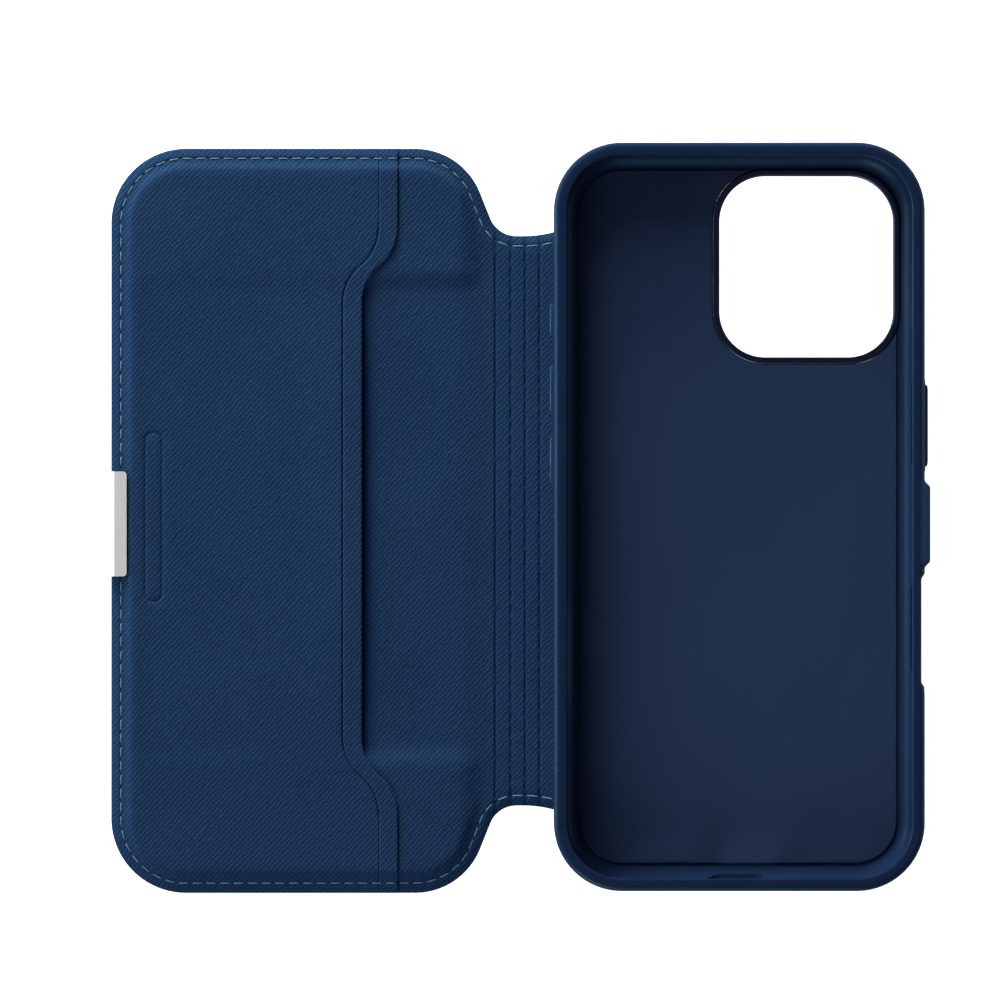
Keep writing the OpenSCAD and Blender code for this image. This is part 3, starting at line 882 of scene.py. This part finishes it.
def make_spine_skins():
    """Leather of the spine, in pieces that each lie over one crease."""
    ends = MEET[::-1] + [TUCK_END]
    creases = (CREASES[::-1] + [ROOT_X])[1:]
    for k, crease in enumerate(creases):
        rib = len(creases) - k
        last = rib == 1
        nodes = [f"rib_{rib}_inner_leather"] + (["spine_tuck"] if last else [])
        make_skin(f"spine_skin_{rib}", nodes, (ends[k], ends[k + 1]), INNER_FACES,
                  crease, 0.9, 0.18)
        back = (ends[k], TONGUE_X if last else ends[k + 1])
        make_skin(f"spine_back_{rib}", [f"rib_{rib}_outer_leather"], back, OUTER_FACES,
                  crease, 1.2, 0.25)


def window_edge(grow, radius=WINDOW_R + WINDOW_RING):
    """The camera window's outline, grown by a distance."""
    return round_rect(WINDOW_X, WINDOW_Y, WINDOW_HALF_W + grow, WINDOW_HALF_L + grow, radius)


def make_back_panel():
    """Outer leather on the tray's back, with a tongue that runs on into the spine."""
    body = round_rect(0, 0, TRAY_HALF_W - BACK_IN, TRAY_HALF_L - BACK_IN, TRAY_R - BACK_IN)
    left = -(TRAY_HALF_W - BACK_IN)
    half = SPINE_HALF + FLARE_RISE
    tongue = np.array([[left, COVER_Y + half], [TONGUE_X, COVER_Y + half],
                       [TONGUE_X, COVER_Y - half], [left, COVER_Y - half]])
    at_left = np.abs(body[:, 0] - left) < 1e-6
    after = int(np.argmax(at_left & (body[:, 1] > 0)))
    outline = np.vstack([body[:after + 1], tongue, body[after + 1:]])
    window = window_edge(WINDOW_RING)
    free_edge = np.roll(outline, -(after + 4), axis=0)[:-3]
    lines = [even(free_edge, 0.5), even(closed_line(window), 0.5)]
    obj = sheet("back_panel", outline, level(OUTER_T), level(0), LEATHER, lines=lines,
                holes=[window], spacing=2.2, rounded=0.25)
    stand_for(obj, "back_leather", "tray")


ORNAMENT_X = -120.9
ORNAMENT_HALF_W = 1.75
ORNAMENT_HALF_L = 17.5
ORNAMENT_DEPTH = 0.2
ORNAMENT_LINE_W = 0.22


def ornament_line(step=0.35):
    """The pressed line near the free edge: a long, narrow stadium."""
    radius = ORNAMENT_HALF_W - 1e-3
    outline = round_rect(ORNAMENT_X, 0.0, ORNAMENT_HALF_W, ORNAMENT_HALF_L, radius, step)
    return closed_line(even(outline, step, True))


def ornament_depth(x, y):
    """How deep the ornament's line is pressed in."""
    depth = np.zeros(len(x))
    near = np.abs(x - ORNAMENT_X) < 4
    if near.any():
        d = line_distance(np.column_stack([x, y])[near], ornament_line())
        depth[near] = ORNAMENT_DEPTH * np.exp(-(d / ORNAMENT_LINE_W) ** 2)
    return depth


def make_pocket():
    """The pocket's leather and the folded hem along its mouth."""
    panel_outline = notched(pocket_outline(-HEM_W - HEM_GROOVE), CLASP_NOTCH)
    hem_outline = pocket_outline(0, -HEM_W + HEM_GROOVE)
    edge = HIDE_EDGE[0]
    edge = edge[edge[:, 0] < MOUTH_END_X - HEM_W - HEM_GROOVE]
    groove = even(inner_mouth(-HEM_W - HEM_GROOVE), 0.5)
    guides = beside(ornament_line(), (0.0001, 0.14, 0.28, 0.45))
    panel = sheet("pocket_leather", panel_outline,
                  lambda x, y: panel_z(x, y) - ornament_depth(x, y), under_panel_z, LEATHER,
                  lines=[edge, groove], rings=MARGIN_RINGS, guides=guides, rounded=0.34)
    stand_for(panel, "pocket_panel", "cover")
    hem = sheet("pocket_hem_fold", hem_outline, lambda x, y: panel_z(x, y) + HEM_RISE,
                under_panel_z, LEATHER, rings=(0.5, 0.8, 1.2, 1.6), spacing=0.8, rounded=0.3)
    stand_for(hem, "pocket_hem", "cover")


def make_padding():
    """Foam frame around the card field, under the inner leather."""
    right = -56.0          # where the frame ends, before the cover thins into the spine
    inset = 3.9            # from the cover's edge
    half = FIELD_HALF + 1.2
    radius = 5
    corner_x = FIELD_X + 3
    top = cut_half(BEYOND, right, inset)
    corners = np.vstack([arc((corner_x, radius - half), radius, 270, 180),
                         arc((corner_x, half - radius), radius, 180, 90)])
    inner = np.vstack([[[right, -half]], corners, [[right, half]]]) + [0, FIELD_Y - COVER_Y]
    outline = np.vstack([top * [1, -1], inner, top[::-1]]) + [0, COVER_Y]
    obj = sheet("cover_padding", outline, lambda x, y: under_inner_skin_z(x, y) - 0.01,
                level(BOARD_TOP + HAIR / 2), FOAM, rounded=0, spacing=2.0, step=1.0)
    stand_for(obj, "cover_foam", "cover")


# ---- Stitches ----


THREAD_R = 0.145
THREAD_FLAT = 0.8      # the thread's height as a share of its width
STITCH_DIVE = 0.16     # how far a stitch's ends dive into the leather
STITCH_SINK = 0.05     # how deep the inner face's stitches lie
BACK_STITCH_Z = 0.19
STITCH_TIP = 0.02      # radius at a stitch's ends
STITCH_RINGS = 9       # rings of points along a stitch
STITCH_SIDES = 8       # points in each ring


def one_stitch(middle, along, z, length, down):
    """A stitch as a low arched bar, whose ends dive into the leather."""
    across = np.array([-along[1], along[0]])
    t = np.linspace(-1, 1, STITCH_RINGS)
    size = np.sqrt(np.maximum(1 - np.abs(t) ** 4, 0)) * THREAD_R
    lift = -STITCH_DIVE * np.abs(t) ** 3
    turns = np.linspace(0, 2 * math.pi, STITCH_SIDES, endpoint=False)
    sign = -1 if down else 1
    points = []
    for place, r, dz in zip(t, np.maximum(size, STITCH_TIP), lift):
        spot = np.asarray(middle) + along * place * length / 2
        for a in turns:
            side = spot + across * r * math.cos(a)
            points.append((*side, z + sign * (dz + r * THREAD_FLAT * math.sin(a))))
    faces = tube_faces(STITCH_RINGS, STITCH_SIDES)
    return points, faces if down else [f[::-1] for f in faces]


def tube_faces(rings, sides):
    """Faces between rings of points, and a cap on the first and the last ring."""
    faces = []
    for k in range(rings - 1):
        for m in range(sides):
            a, b = k * sides + m, k * sides + (m + 1) % sides
            faces.append((a, b, b + sides, a + sides))
    last = (rings - 1) * sides
    return faces + [tuple(range(sides))[::-1], tuple(range(last, last + sides))]


def run_along(path):
    """Distance from the path's start to each of its points."""
    return np.concatenate([[0], np.cumsum(np.hypot(*np.diff(path, axis=0).T))])


def at_run(s, run, path):
    """The value of the path's columns at a distance from its start."""
    return np.array([np.interp(s, run, path[:, 0]), np.interp(s, run, path[:, 1])])


def along_path(path, pitch=STITCH_PITCH):
    """Middles and directions of stitches along a path, evenly spaced."""
    run = run_along(path)
    count = max(1, int(round(run[-1] / pitch)))
    for k in range(count):
        s = (k + 0.5) * run[-1] / count
        chord = at_run(s + 0.1, run, path) - at_run(s - 0.1, run, path)
        yield at_run(s, run, path), chord / np.hypot(*chord)


def seam_height(x, y):
    """Height of the leather's margin at a stitch."""
    if x < mouth_x(y, -HEM_W):
        return MARGIN_Z + INNER_T
    if x < mouth_x(y):
        return MARGIN_Z + INNER_T + HEM_RISE
    return MARGIN_Z


def stitch_run(name, paths, body, node, length=STITCH_L):
    """Stitches on both faces along the paths."""
    points, faces = [], []
    for path in paths:
        for middle, along in along_path(path):
            high = seam_height(*middle)
            for z, down in ((high - STITCH_SINK, False), (BACK_STITCH_Z, True)):
                p, f = one_stitch(middle, along, z, length, down)
                faces += [tuple(i + len(points) for i in g) for g in f]
                points += p
    obj = new_object(name, points, faces, THREAD, 60)
    stand_for(obj, node, body)


def make_stitches():
    """Stitches round the cover, and on each rib of the spine."""
    last = CREASES[-1] - 0.3
    top = cut_half(BEYOND, last, STITCH_IN)
    upper, lower = (even(line, 0.4) for line in both_edges(top))
    x = FREE_X + STITCH_IN
    clear = CLASP_HALF + 0.7
    paths = [np.vstack([[[x, CLASP_Y + clear]], upper]), np.vstack([[[x, CLASP_Y - clear]], lower])]
    stitch_run("cover_stitches", paths, "cover", "cover_thread")
    walls = [ROOT_X - 0.9] + CREASES
    for rib in range(1, len(walls)):
        mid = (walls[rib - 1] + walls[rib]) / 2
        half = STITCH_PITCH / 2
        part = cut_half(mid - half, mid + half, STITCH_IN)
        stitch_run(f"rib_{rib}_stitches", both_edges(part), f"rib_{rib}", f"rib_{rib}_thread",
                   RIB_STITCH_L)


# ---- Clasp ----


PLATE_T = 0.6
PLATE_BEND = 0.95      # outer radius of the bend round the free edge
PLATE_CORNER = 0.75
PLATE_EDGE = 0.13      # width of the bevel on the plate's edges


def clasp_section():
    """Outer line of the plate's section as (x, z), from its right edge round the free edge."""
    top = CLASP_HIGH[2]
    foot = CLASP_LOW[2]
    bend = arc((FREE_X + PLATE_BEND, top - PLATE_BEND), PLATE_BEND, 90, 180, 0.15)
    corner_line = np.vstack([[[CLASP_HIGH[0], top]], bend, [[FREE_X, foot + 0.3], [FREE_X, foot]]])
    run = run_along(corner_line)
    fine = np.linspace(0, 0.9, 8)
    s = np.unique(np.concatenate([fine, np.linspace(fine[-1], run[-1], 22)]))
    return corner_line, run, s


def clasp_rows():
    """Steps along the plate's length, fine at its rounded corners."""
    turn = PLATE_CORNER * (1 - np.cos(np.linspace(0, math.pi / 2, 8)))
    straight = CLASP_HALF - PLATE_CORNER
    return np.unique(np.concatenate([-CLASP_HALF + turn, np.linspace(-straight, straight, 30),
                                     CLASP_HALF - turn]))


def make_clasp():
    """A thin metal plate bent round the free edge, with rounded corners."""
    corner_line, run, s = clasp_section()
    normals = -line_normals(at_run(s, run, corner_line).T)
    y_steps = clasp_rows()
    points = []
    for y in y_steps:
        near = max(abs(y) - (CLASP_HALF - PLATE_CORNER), 0)
        cut_off = PLATE_CORNER - math.sqrt(max(PLATE_CORNER ** 2 - near ** 2, 0))
        for along in s:
            moved = cut_off + (run[-1] - cut_off) * (along / run[-1])
            x, z = at_run(moved, run, corner_line)
            n = at_run(moved, s, normals)
            n /= np.hypot(*n)
            points.append((x, CLASP_Y + y, z))
            points.append((x - n[0] * PLATE_T, CLASP_Y + y, z - n[1] * PLATE_T))
    obj = new_object("clasp_cap", points, plate_faces(len(y_steps), len(s)), SILVER, 35)
    apply_bevel(obj, PLATE_EDGE)
    finish_mesh(obj, SILVER, 50)
    stand_for(obj, "clasp_plate", "cover")


def plate_faces(rows, cols):
    """Faces of a bent plate whose points lie in rows of outer and inner pairs."""
    def at(row, col, layer):
        return (row * cols + col) * 2 + layer

    faces = [(at(r, c, k), at(r + 1, c, k), at(r + 1, c + 1, k), at(r, c + 1, k))
             for r in range(rows - 1) for c in range(cols - 1) for k in (0, 1)]
    faces += [(at(r, c, 0), at(r + 1, c, 0), at(r + 1, c, 1), at(r, c, 1))
              for r in range(rows - 1) for c in (0, cols - 1)]
    faces += [(at(r, c, 0), at(r, c + 1, 0), at(r, c + 1, 1), at(r, c, 1))
              for c in range(cols - 1) for r in (0, rows - 1)]
    return faces


def apply_bevel(obj, width):
    """Bevels the sharp edges and keeps the result as the mesh."""
    recalculate(obj)
    modifier = obj.modifiers.new("edges", "BEVEL")
    modifier.width = width * MM
    modifier.segments = 3
    modifier.limit_method = "ANGLE"
    modifier.angle_limit = math.radians(35)
    apply_modifiers(obj)


def recalculate(obj):
    """Turns all faces outwards."""
    bm = bmesh.new()
    bm.from_mesh(obj.data)
    bmesh.ops.recalc_face_normals(bm, faces=bm.faces)
    bm.to_mesh(obj.data)
    bm.free()


def apply_modifiers(obj):
    """Keeps the modifiers' result as the mesh."""
    graph = bpy.context.evaluated_depsgraph_get()
    made = bpy.data.meshes.new_from_object(obj.evaluated_get(graph))
    obj.modifiers.clear()
    old = obj.data
    obj.data = made
    bpy.data.meshes.remove(old)
    made.name = obj.name


# ---- Tray ----


def wall_profile():
    """Section of the wall as (u, z): u is 0 at the outline and negative inside."""
    outer_top = RIM_Z - RIM_R
    return np.vstack([
        [[-FLANGE_W, OUTER_T]],
        arc((-BELLY_R, OUTER_T + BELLY_R), BELLY_R, 270, 360, 0.45),
        [[0, z] for z in np.linspace(OUTER_T + BELLY_R, outer_top, 9)[1:-1]],
        arc((-RIM_R, outer_top), RIM_R, 0, 90, 0.15),
        arc((-WALL_T - LIP + LIP_R, RIM_Z - LIP_R), LIP_R, 90, 180, 0.12),
        arc((-WALL_T - LIP + UNDERCUT_R, RIM_Z - 0.75), UNDERCUT_R, 180, 235, 0.1),
        [[-WALL_T, RIM_Z - 1.15]],
        [[-WALL_T, z] for z in np.linspace(RIM_Z - 1.6, FLOOR_Z + HEEL_R, 7)[:-1]],
        arc((-WALL_T - HEEL_R, FLOOR_Z + HEEL_R), HEEL_R, 0, -90, 0.45),
        [[-FLANGE_W, FLOOR_Z]],
    ])


def middle_y(first, last):
    """Middle in y of a group of CAD nodes."""
    return (cad_box(first)[0][1] + cad_box(last)[1][1]) / 2


# Each button node with the side of the wall that it is in: -1 for left and 1 for right
BUTTONS = {"action_button": -1, "volume_up_button": -1, "volume_down_button": -1, "side_button": 1}
# Middle and length of the pads that stand out round the buttons, on each side
PADS = {-1: [(middle_y("action_button", "action_button"), 10.3),
             (middle_y("volume_down_button", "volume_up_button"), 27.2)],
        1: [(middle_y("side_button", "side_button"), 20.5)]}
PAD_OUT = 0.27
PAD_EDGE = (1.7, 2.5)  # distances above and below the buttons between which a pad ends
CATCH_L = 18.0         # the bump that the clasp holds on to
CATCH_OUT = 1.1
CATCH_RISE = (2.4, 4.2)  # heights between which the bump grows out of the wall
CONTROL_Y = -23.4      # the scoop for a finger on the phone's side control
CONTROL_L = 23.0
CONTROL_IN = 0.68
SLOT_H = 4.6           # the slot in the scoop
HOLE_LESS = 0.6        # a button's hole is smaller than its flange by this much
SEAT_MORE = 0.4        # and the flange's seat is larger by this much
SEAT_IN = 0.95         # from the wall's outline to the seat's end
# Middle in x, width and height of the charging port and of the two speaker slots
PORTS = ((0, 13.5, 6.4), (-17.5, 13, 3.2), (17.5, 13, 3.2))


def bulge(side, y, u, z):
    """How far the wall stands out of its outline: pads, catch bump and finger scoop."""
    outward = smooth(u, -RIM_R, -0.5)
    out = np.zeros(len(u))
    for centre, length in PADS.get(side, []):
        here = 1 - smooth(abs(y - centre), length / 2 - 1.3, length / 2)
        out += PAD_OUT * here * (1 - smooth(np.abs(z - BUTTON_Z), *PAD_EDGE))
    if side == 1:
        out += CATCH_OUT * catch_share(y) * smooth(z, *CATCH_RISE)
        here = 1 - smooth(abs(y - CONTROL_Y), CONTROL_L / 2 - 1.0, CONTROL_L / 2 + 0.4)
        out -= CONTROL_IN * here
    return out * outward


def catch_share(y):
    """1 on the catch bump and 0 beside it."""
    return 1 - smooth(abs(y - CLASP_Y), CATCH_L / 2 - 1.5, CATCH_L / 2 + 0.1)


def catch_painted_highlight(x, y):
    """A painted highlight on the catch bump's top, where light falls on it."""
    over = smooth(x, TRAY_HALF_W - RIM_R, TRAY_HALF_W - 0.3)
    return over * (1 - smooth(np.abs(y - CLASP_Y), CATCH_L / 2 - 1.0, CATCH_L / 2 + 1.0))


def catch_top(side, y, u, z):
    """How far the catch bump's top is raised, so that it is flat with a small round."""
    across = np.clip((u + RIM_R) / RIM_R, 0, 1)
    squarer = RIM_Z - RIM_R * (1 - (1 - across ** 6) ** (1 / 6)) - 0.1 * across
    rounded = z > RIM_Z - RIM_R - 0.01
    share = catch_share(y) if side == 1 else 0.0
    return np.where(rounded & (u > -RIM_R), (squarer - z) * share, 0.0)


def side_stations(feature_ranges, start, end):
    """Steps along a straight side, fine near its features."""
    steps = [start]
    while steps[-1] < end - 1e-6:
        near = any(a - 0.5 <= steps[-1] <= b + 0.5 for a, b in feature_ranges)
        steps.append(min(end, steps[-1] + (0.35 if near else 2.0)))
    return np.array(steps)


def feature_ends(centre, length, before, after):
    """Short ranges round both ends of a feature of a side wall."""
    return [(centre + s * length / 2 - before, centre + s * length / 2 + after) for s in (-1, 1)]


def wall_stations():
    """Stations round the tray: place, outward normal, side and y. Side is 0 off the sides."""
    x_side, y_side = TRAY_HALF_W - TRAY_R, TRAY_HALF_L - TRAY_R
    ranges = {side: [r for pad in PADS[side] for r in feature_ends(*pad, 1.5, 0.6)] for side in PADS}
    ranges[1] += feature_ends(CLASP_Y, CATCH_L, 1.7, 1.7)
    ranges[1] += feature_ends(CONTROL_Y, CONTROL_L, 1.5, 1.5)
    stations = []
    for y in side_stations(ranges[1], -y_side, y_side)[:-1]:
        stations.append(((TRAY_HALF_W, y), (1, 0), 1, y))
    corners = [((x_side, y_side), 0), ((-x_side, y_side), 90), ((-x_side, -y_side), 180),
               ((x_side, -y_side), 270)]
    for centre, turn in corners:
        for a in np.radians(np.linspace(turn, turn + 90, 21)[:-1]):
            n = (math.cos(a), math.sin(a))
            stations.append(((centre[0] + TRAY_R * n[0], centre[1] + TRAY_R * n[1]), n, 0, 0.0))
        if turn == 90:
            for y in side_stations(ranges[-1], -y_side, y_side)[1:][::-1]:
                stations.append(((-TRAY_HALF_W, y), (-1, 0), -1, y))
        elif turn in (0, 180):
            across = 1 if turn == 0 else -1
            for x in across * np.linspace(x_side, -x_side, 26)[:-1]:
                stations.append(((x, across * TRAY_HALF_L), (0, across), 0, 0.0))
    return stations


def make_wall():
    """The soft moulded wall, swept round the tray, with its openings cut out."""
    profile = wall_profile()
    u, z = profile[:, 0], profile[:, 1]
    stations = wall_stations()
    points = []
    for (x, y), normal, side, side_y in stations:
        out = u + bulge(side, side_y, u, z)
        high = z + catch_top(side, side_y, u, z)
        points += [(x + normal[0] * o, y + normal[1] * o, h) for o, h in zip(out, high)]
    n, m = len(stations), len(profile)
    faces = [(a * m + k, a * m + (k + 1) % m, b * m + (k + 1) % m, b * m + k)
             for a in range(n) for b in [(a + 1) % n] for k in range(m)]
    obj = new_object("bumper_wall", points, faces, SOFT_SHELL)
    recalculate(obj)
    cut(obj, wall_cutters())
    finish_mesh(obj, SOFT_SHELL, 38)
    # The catch bump's top gets a painted highlight
    mark(obj, "painted_shading", catch_painted_highlight)
    stand_for(obj, "bumper", "tray")


def prism(points, place, start, end):
    """A closed prism over a flat outline; place turns (a, b, depth) into x, y, z."""
    vertices = [place(a, b, d) for d in (start, end) for a, b in points]
    return vertices, tube_faces(2, len(points))


def flat_stadium(centre, length, height, step=0.25):
    """A stadium with its long side along the first axis."""
    return round_rect(centre[0], centre[1], length / 2, height / 2, height / 2 - 1e-3, step)


def sideways(side):
    """Places a prism through a side wall."""
    return lambda a, b, d: (side * d, a, b)


def endways(a, b, d):
    """Places a prism through the lower wall."""
    return (a, -d, b)


def upright(a, b, d):
    """Places a prism upright."""
    return (a, b, d)


def rectangle(x0, x1, y0, y1):
    return np.array([[x0, y0], [x1, y0], [x1, y1], [x0, y1]])


def wall_cutters():
    """Solids that are cut out of the wall."""
    deep = TRAY_HALF_W - 4
    past = TRAY_HALF_W + 3
    cutters = []
    for node, side in BUTTONS.items():
        low, high = cad_box(node)
        centre = ((low[1] + high[1]) / 2, BUTTON_Z)
        length, height = high[1] - low[1], high[2] - low[2]
        through = flat_stadium(centre, length - HOLE_LESS, height - HOLE_LESS)
        cutters.append(prism(through, sideways(side), deep, past))
        seat = flat_stadium(centre, length + SEAT_MORE, height + SEAT_MORE)
        cutters.append(prism(seat, sideways(side), deep, TRAY_HALF_W - SEAT_IN))
    slot = flat_stadium((CONTROL_Y, BUTTON_Z), CONTROL_L - 3, SLOT_H)
    cutters.append(prism(slot, sideways(1), deep, past))
    for x, width, height in PORTS:
        port = flat_stadium((x, BUTTON_Z), width, height)
        cutters.append(prism(port, endways, TRAY_HALF_L - 5, TRAY_HALF_L + 3))
    cutters.append(prism(window_edge(WINDOW_RING), upright, -1, 2.4))
    half = SPINE_HALF + FLARE_RISE + 0.05
    tuck = rectangle(-60, TUCK_END + 0.05, COVER_Y - half, COVER_Y + half)
    cutters.append(prism(tuck, upright, -1, MARGIN_Z + FIT))
    low, high = cad_box("catch_magnet")
    room = rectangle(low[0], high[0], low[1], high[1])
    cutters.append(prism(room, upright, low[2], high[2]))
    return cutters


def cut(obj, cutters):
    """Subtracts the cutters one by one and keeps the result as the mesh."""
    for k, (vertices, faces) in enumerate(cutters):
        tool = new_object(f"cutter_{k}", vertices, faces, SOFT_SHELL)
        recalculate(tool)
        modifier = obj.modifiers.new("cut", "BOOLEAN")
        modifier.operation = "DIFFERENCE"
        modifier.solver = "EXACT"
        modifier.object = tool
        apply_modifiers(obj)
        bpy.data.objects.remove(tool)


def button_rings(inner, outer, height):
    """The cap's rings as (how far in from its outline, x), from its flange to its domed top."""
    flange, turn = 0.5, 0.42
    rings = [(0.12, inner), (0.0, inner + 0.1), (0.0, inner + 0.5), (0.1, inner + 0.6),
             (flange, inner + 0.62), (flange, outer - turn - 0.1)]
    for a in np.radians(np.linspace(15, 90, 6)):
        rings.append((flange + turn * (1 - math.cos(a)), outer - 0.1 - turn * (1 - math.sin(a))))
    return rings + [(flange + turn + 0.25, outer - 0.06), (height / 2 - 0.08, outer)]


def make_button(node, side):
    """A domed button cap with its inner flange."""
    low, high = cad_box(node)
    y = (low[1] + high[1]) / 2
    length, height = high[1] - low[1], high[2] - low[2]
    inner, outer = sorted((abs(low[0]), abs(high[0])))
    rings = button_rings(inner, outer, height)
    points = []
    for inset, x in rings:
        half = height / 2 - inset
        shape = round_rect(y, BUTTON_Z, length / 2 - inset, half, max(half - 1e-3, 0.02), half * 0.2)
        points += [(side * x, a, b) for a, b in shape]
    obj = new_object(node + "_cap", points, tube_faces(len(rings), len(shape)), BUTTON, 50)
    recalculate(obj)
    finish_mesh(obj, BUTTON, 50)
    stand_for(obj, node, node)


def make_tray_floor():
    """The lining under the phone and the ring round the camera window."""
    inset = WALL_T + HEEL_R
    lining_z = cad_box("microfibre_lining")[1][2]
    body = round_rect(0, 0, TRAY_HALF_W - inset, TRAY_HALF_L - inset, TRAY_R - inset)
    outline = without(body, window_edge(WINDOW_RING + FIT))
    lining = sheet("lining", outline, level(lining_z), level(FLOOR_Z + HAIR / 2), MICROFIBRE,
                   rounded=0.1, spacing=2.5, rings=(0.4, 0.9))
    stand_for(lining, "microfibre_lining", "tray")
    ring = sheet("window_ring", window_edge(WINDOW_RING - FIT), level(WINDOW_HIGH[2]),
                 level(WINDOW_LOW[2]), RING, holes=[window_edge(0, WINDOW_R)], rounded=0.4,
                 spacing=0.7, step=0.5)
    stand_for(ring, "camera_ring", "tray")


def without(body, window):
    """The body's outline with the part that the window covers taken out of one corner."""
    body, window = even(body, 0.3, True), even(window, 0.3, True)
    rest = longest_run(body, ~inside(body, window))
    bite = longest_run(window, inside(window, body))
    return np.vstack([rest, bite[::-1]])


def longest_run(points, keep):
    """The longest row of kept points in a closed outline."""
    best = []
    for start in range(len(points)):
        if keep[start] and not keep[start - 1]:
            turned = np.roll(keep, -start)
            count = len(points) if turned.all() else int(np.argmin(turned))
            if count > len(best):
                best = np.roll(points, -start, axis=0)[:count]
    return best


def dress_cad():
    """Materials for the CAD nodes that stay as they are."""
    looks = {"back_plate": PLATE, "cover_board": BOARD, "catch_magnet": STEEL,
             "clasp_magnet_upper": STEEL, "clasp_magnet_lower": STEEL}
    for node, material in looks.items():
        dress(frame["nodes"][node], material)


# ---- Stage ----


FLOOR_HALF = 6.0       # metres
FLOOR_Z_M = -2e-5      # just under the object's lowest point
CAMERA_PLACE = (-0.04922, 0.00346, 1.2)
CAMERA_LENS = 208.42
AIM = (-0.045, 0, 0)
# Name, place in metres, size, watts, colour, and whether glossy surfaces show it
LAMPS = (
    ("key", (-0.34, 0.82, 0.34), 0.36, 7.9, (1, 1, 1), False),
    ("rake", (-0.3, 0.92, 0.14), 0.2, 15, (0.95, 1, 0.78), False),
    ("side", (-1.05, 0.15, 0.25), 0.35, 3.6, (1, 1, 1), True),
    ("left_edge", (-1.0, 0.0, 0.08), 0.14, 2.6, (1, 1, 1), True),
    ("right_edge", (0.95, 0.05, 0.1), 0.14, 1.3, (1, 1, 1), True),
    ("fill", (-0.4, -0.9, 0.36), 0.5, 5.4, (1, 1, 1), True),
)


def floor_material():
    """White to the camera. What it gives the object is cool, and stronger at the lower right."""
    material, tree, shader = new_material("white_floor", Roughness=0.9, Specular_IOR_Level=0.1,
                                          Base_Color=(0.6, 0.6, 0.6, 1))
    seen = put(tree, "ShaderNodeLightPath").outputs["Is Camera Ray"]
    place = put(tree, "ShaderNodeNewGeometry").outputs["Position"]
    turned = put(tree, "ShaderNodeMapping", Vector=place, Rotation=(0, 0, -math.radians(140)))
    along = put(tree, "ShaderNodeSeparateXYZ", Vector=turned.outputs[0]).outputs["X"]
    lit = spread(tree, along, 0.12, 2.2, -0.02, 0.3, "SMOOTHSTEP")
    wire(tree, shader, Emission_Strength=plus(tree, seen, lit),
         Emission_Color=blend_colours(tree, seen, (0.45, 0.8, 1.0), (1.0, 1.0, 1.0)))
    return material


def make_floor():
    """A large white floor that belongs to the stage."""
    mesh = bpy.data.meshes.new("floor")
    corners = rectangle(-FLOOR_HALF, FLOOR_HALF, -FLOOR_HALF, FLOOR_HALF)
    mesh.from_pydata([(x, y, FLOOR_Z_M) for x, y in corners], [], [(0, 1, 2, 3)])
    mesh.materials.append(floor_material())
    floor = bpy.data.objects.new("floor", mesh)
    bpy.context.scene.collection.objects.link(floor)


def make_lamp(name, place, size, watts, colour, glare):
    """A soft round lamp that points at the object."""
    light = bpy.data.lights.new(name, "AREA")
    light.shape = "DISK"
    light.size = size
    light.energy = watts
    light.color = colour
    obj = bpy.data.objects.new(name, light)
    obj.visible_glossy = glare
    obj.location = place
    obj.rotation_euler = (Vector(AIM) - Vector(place)).to_track_quat("-Z", "Y").to_euler()
    bpy.context.scene.collection.objects.link(obj)


def make_stage():
    """White floor, soft light from the upper left, and the camera straight above."""
    scene = bpy.context.scene
    scene.view_settings.view_transform = "Standard"
    make_floor()
    world = bpy.data.worlds.new("studio")
    scene.world = world
    world.use_nodes = True
    background = world.node_tree.nodes["Background"]
    wire(world.node_tree, background, Color=(1, 0.85, 1.1, 1), Strength=0.12)
    for lamp in LAMPS:
        make_lamp(*lamp)
    camera = bpy.data.cameras.new("camera")
    camera.lens = CAMERA_LENS
    camera.sensor_width = 36
    camera.clip_end = 20
    obj = bpy.data.objects.new("camera", camera)
    obj.location = CAMERA_PLACE
    scene.collection.objects.link(obj)
    scene.camera = obj


make_stage()
make_cover_skins()
make_spine_skins()
make_back_panel()
make_pocket()
make_padding()
make_stitches()
make_clasp()
make_wall()
for button_node, button_side in BUTTONS.items():
    make_button(button_node, button_side)
make_tray_floor()
dress_cad()
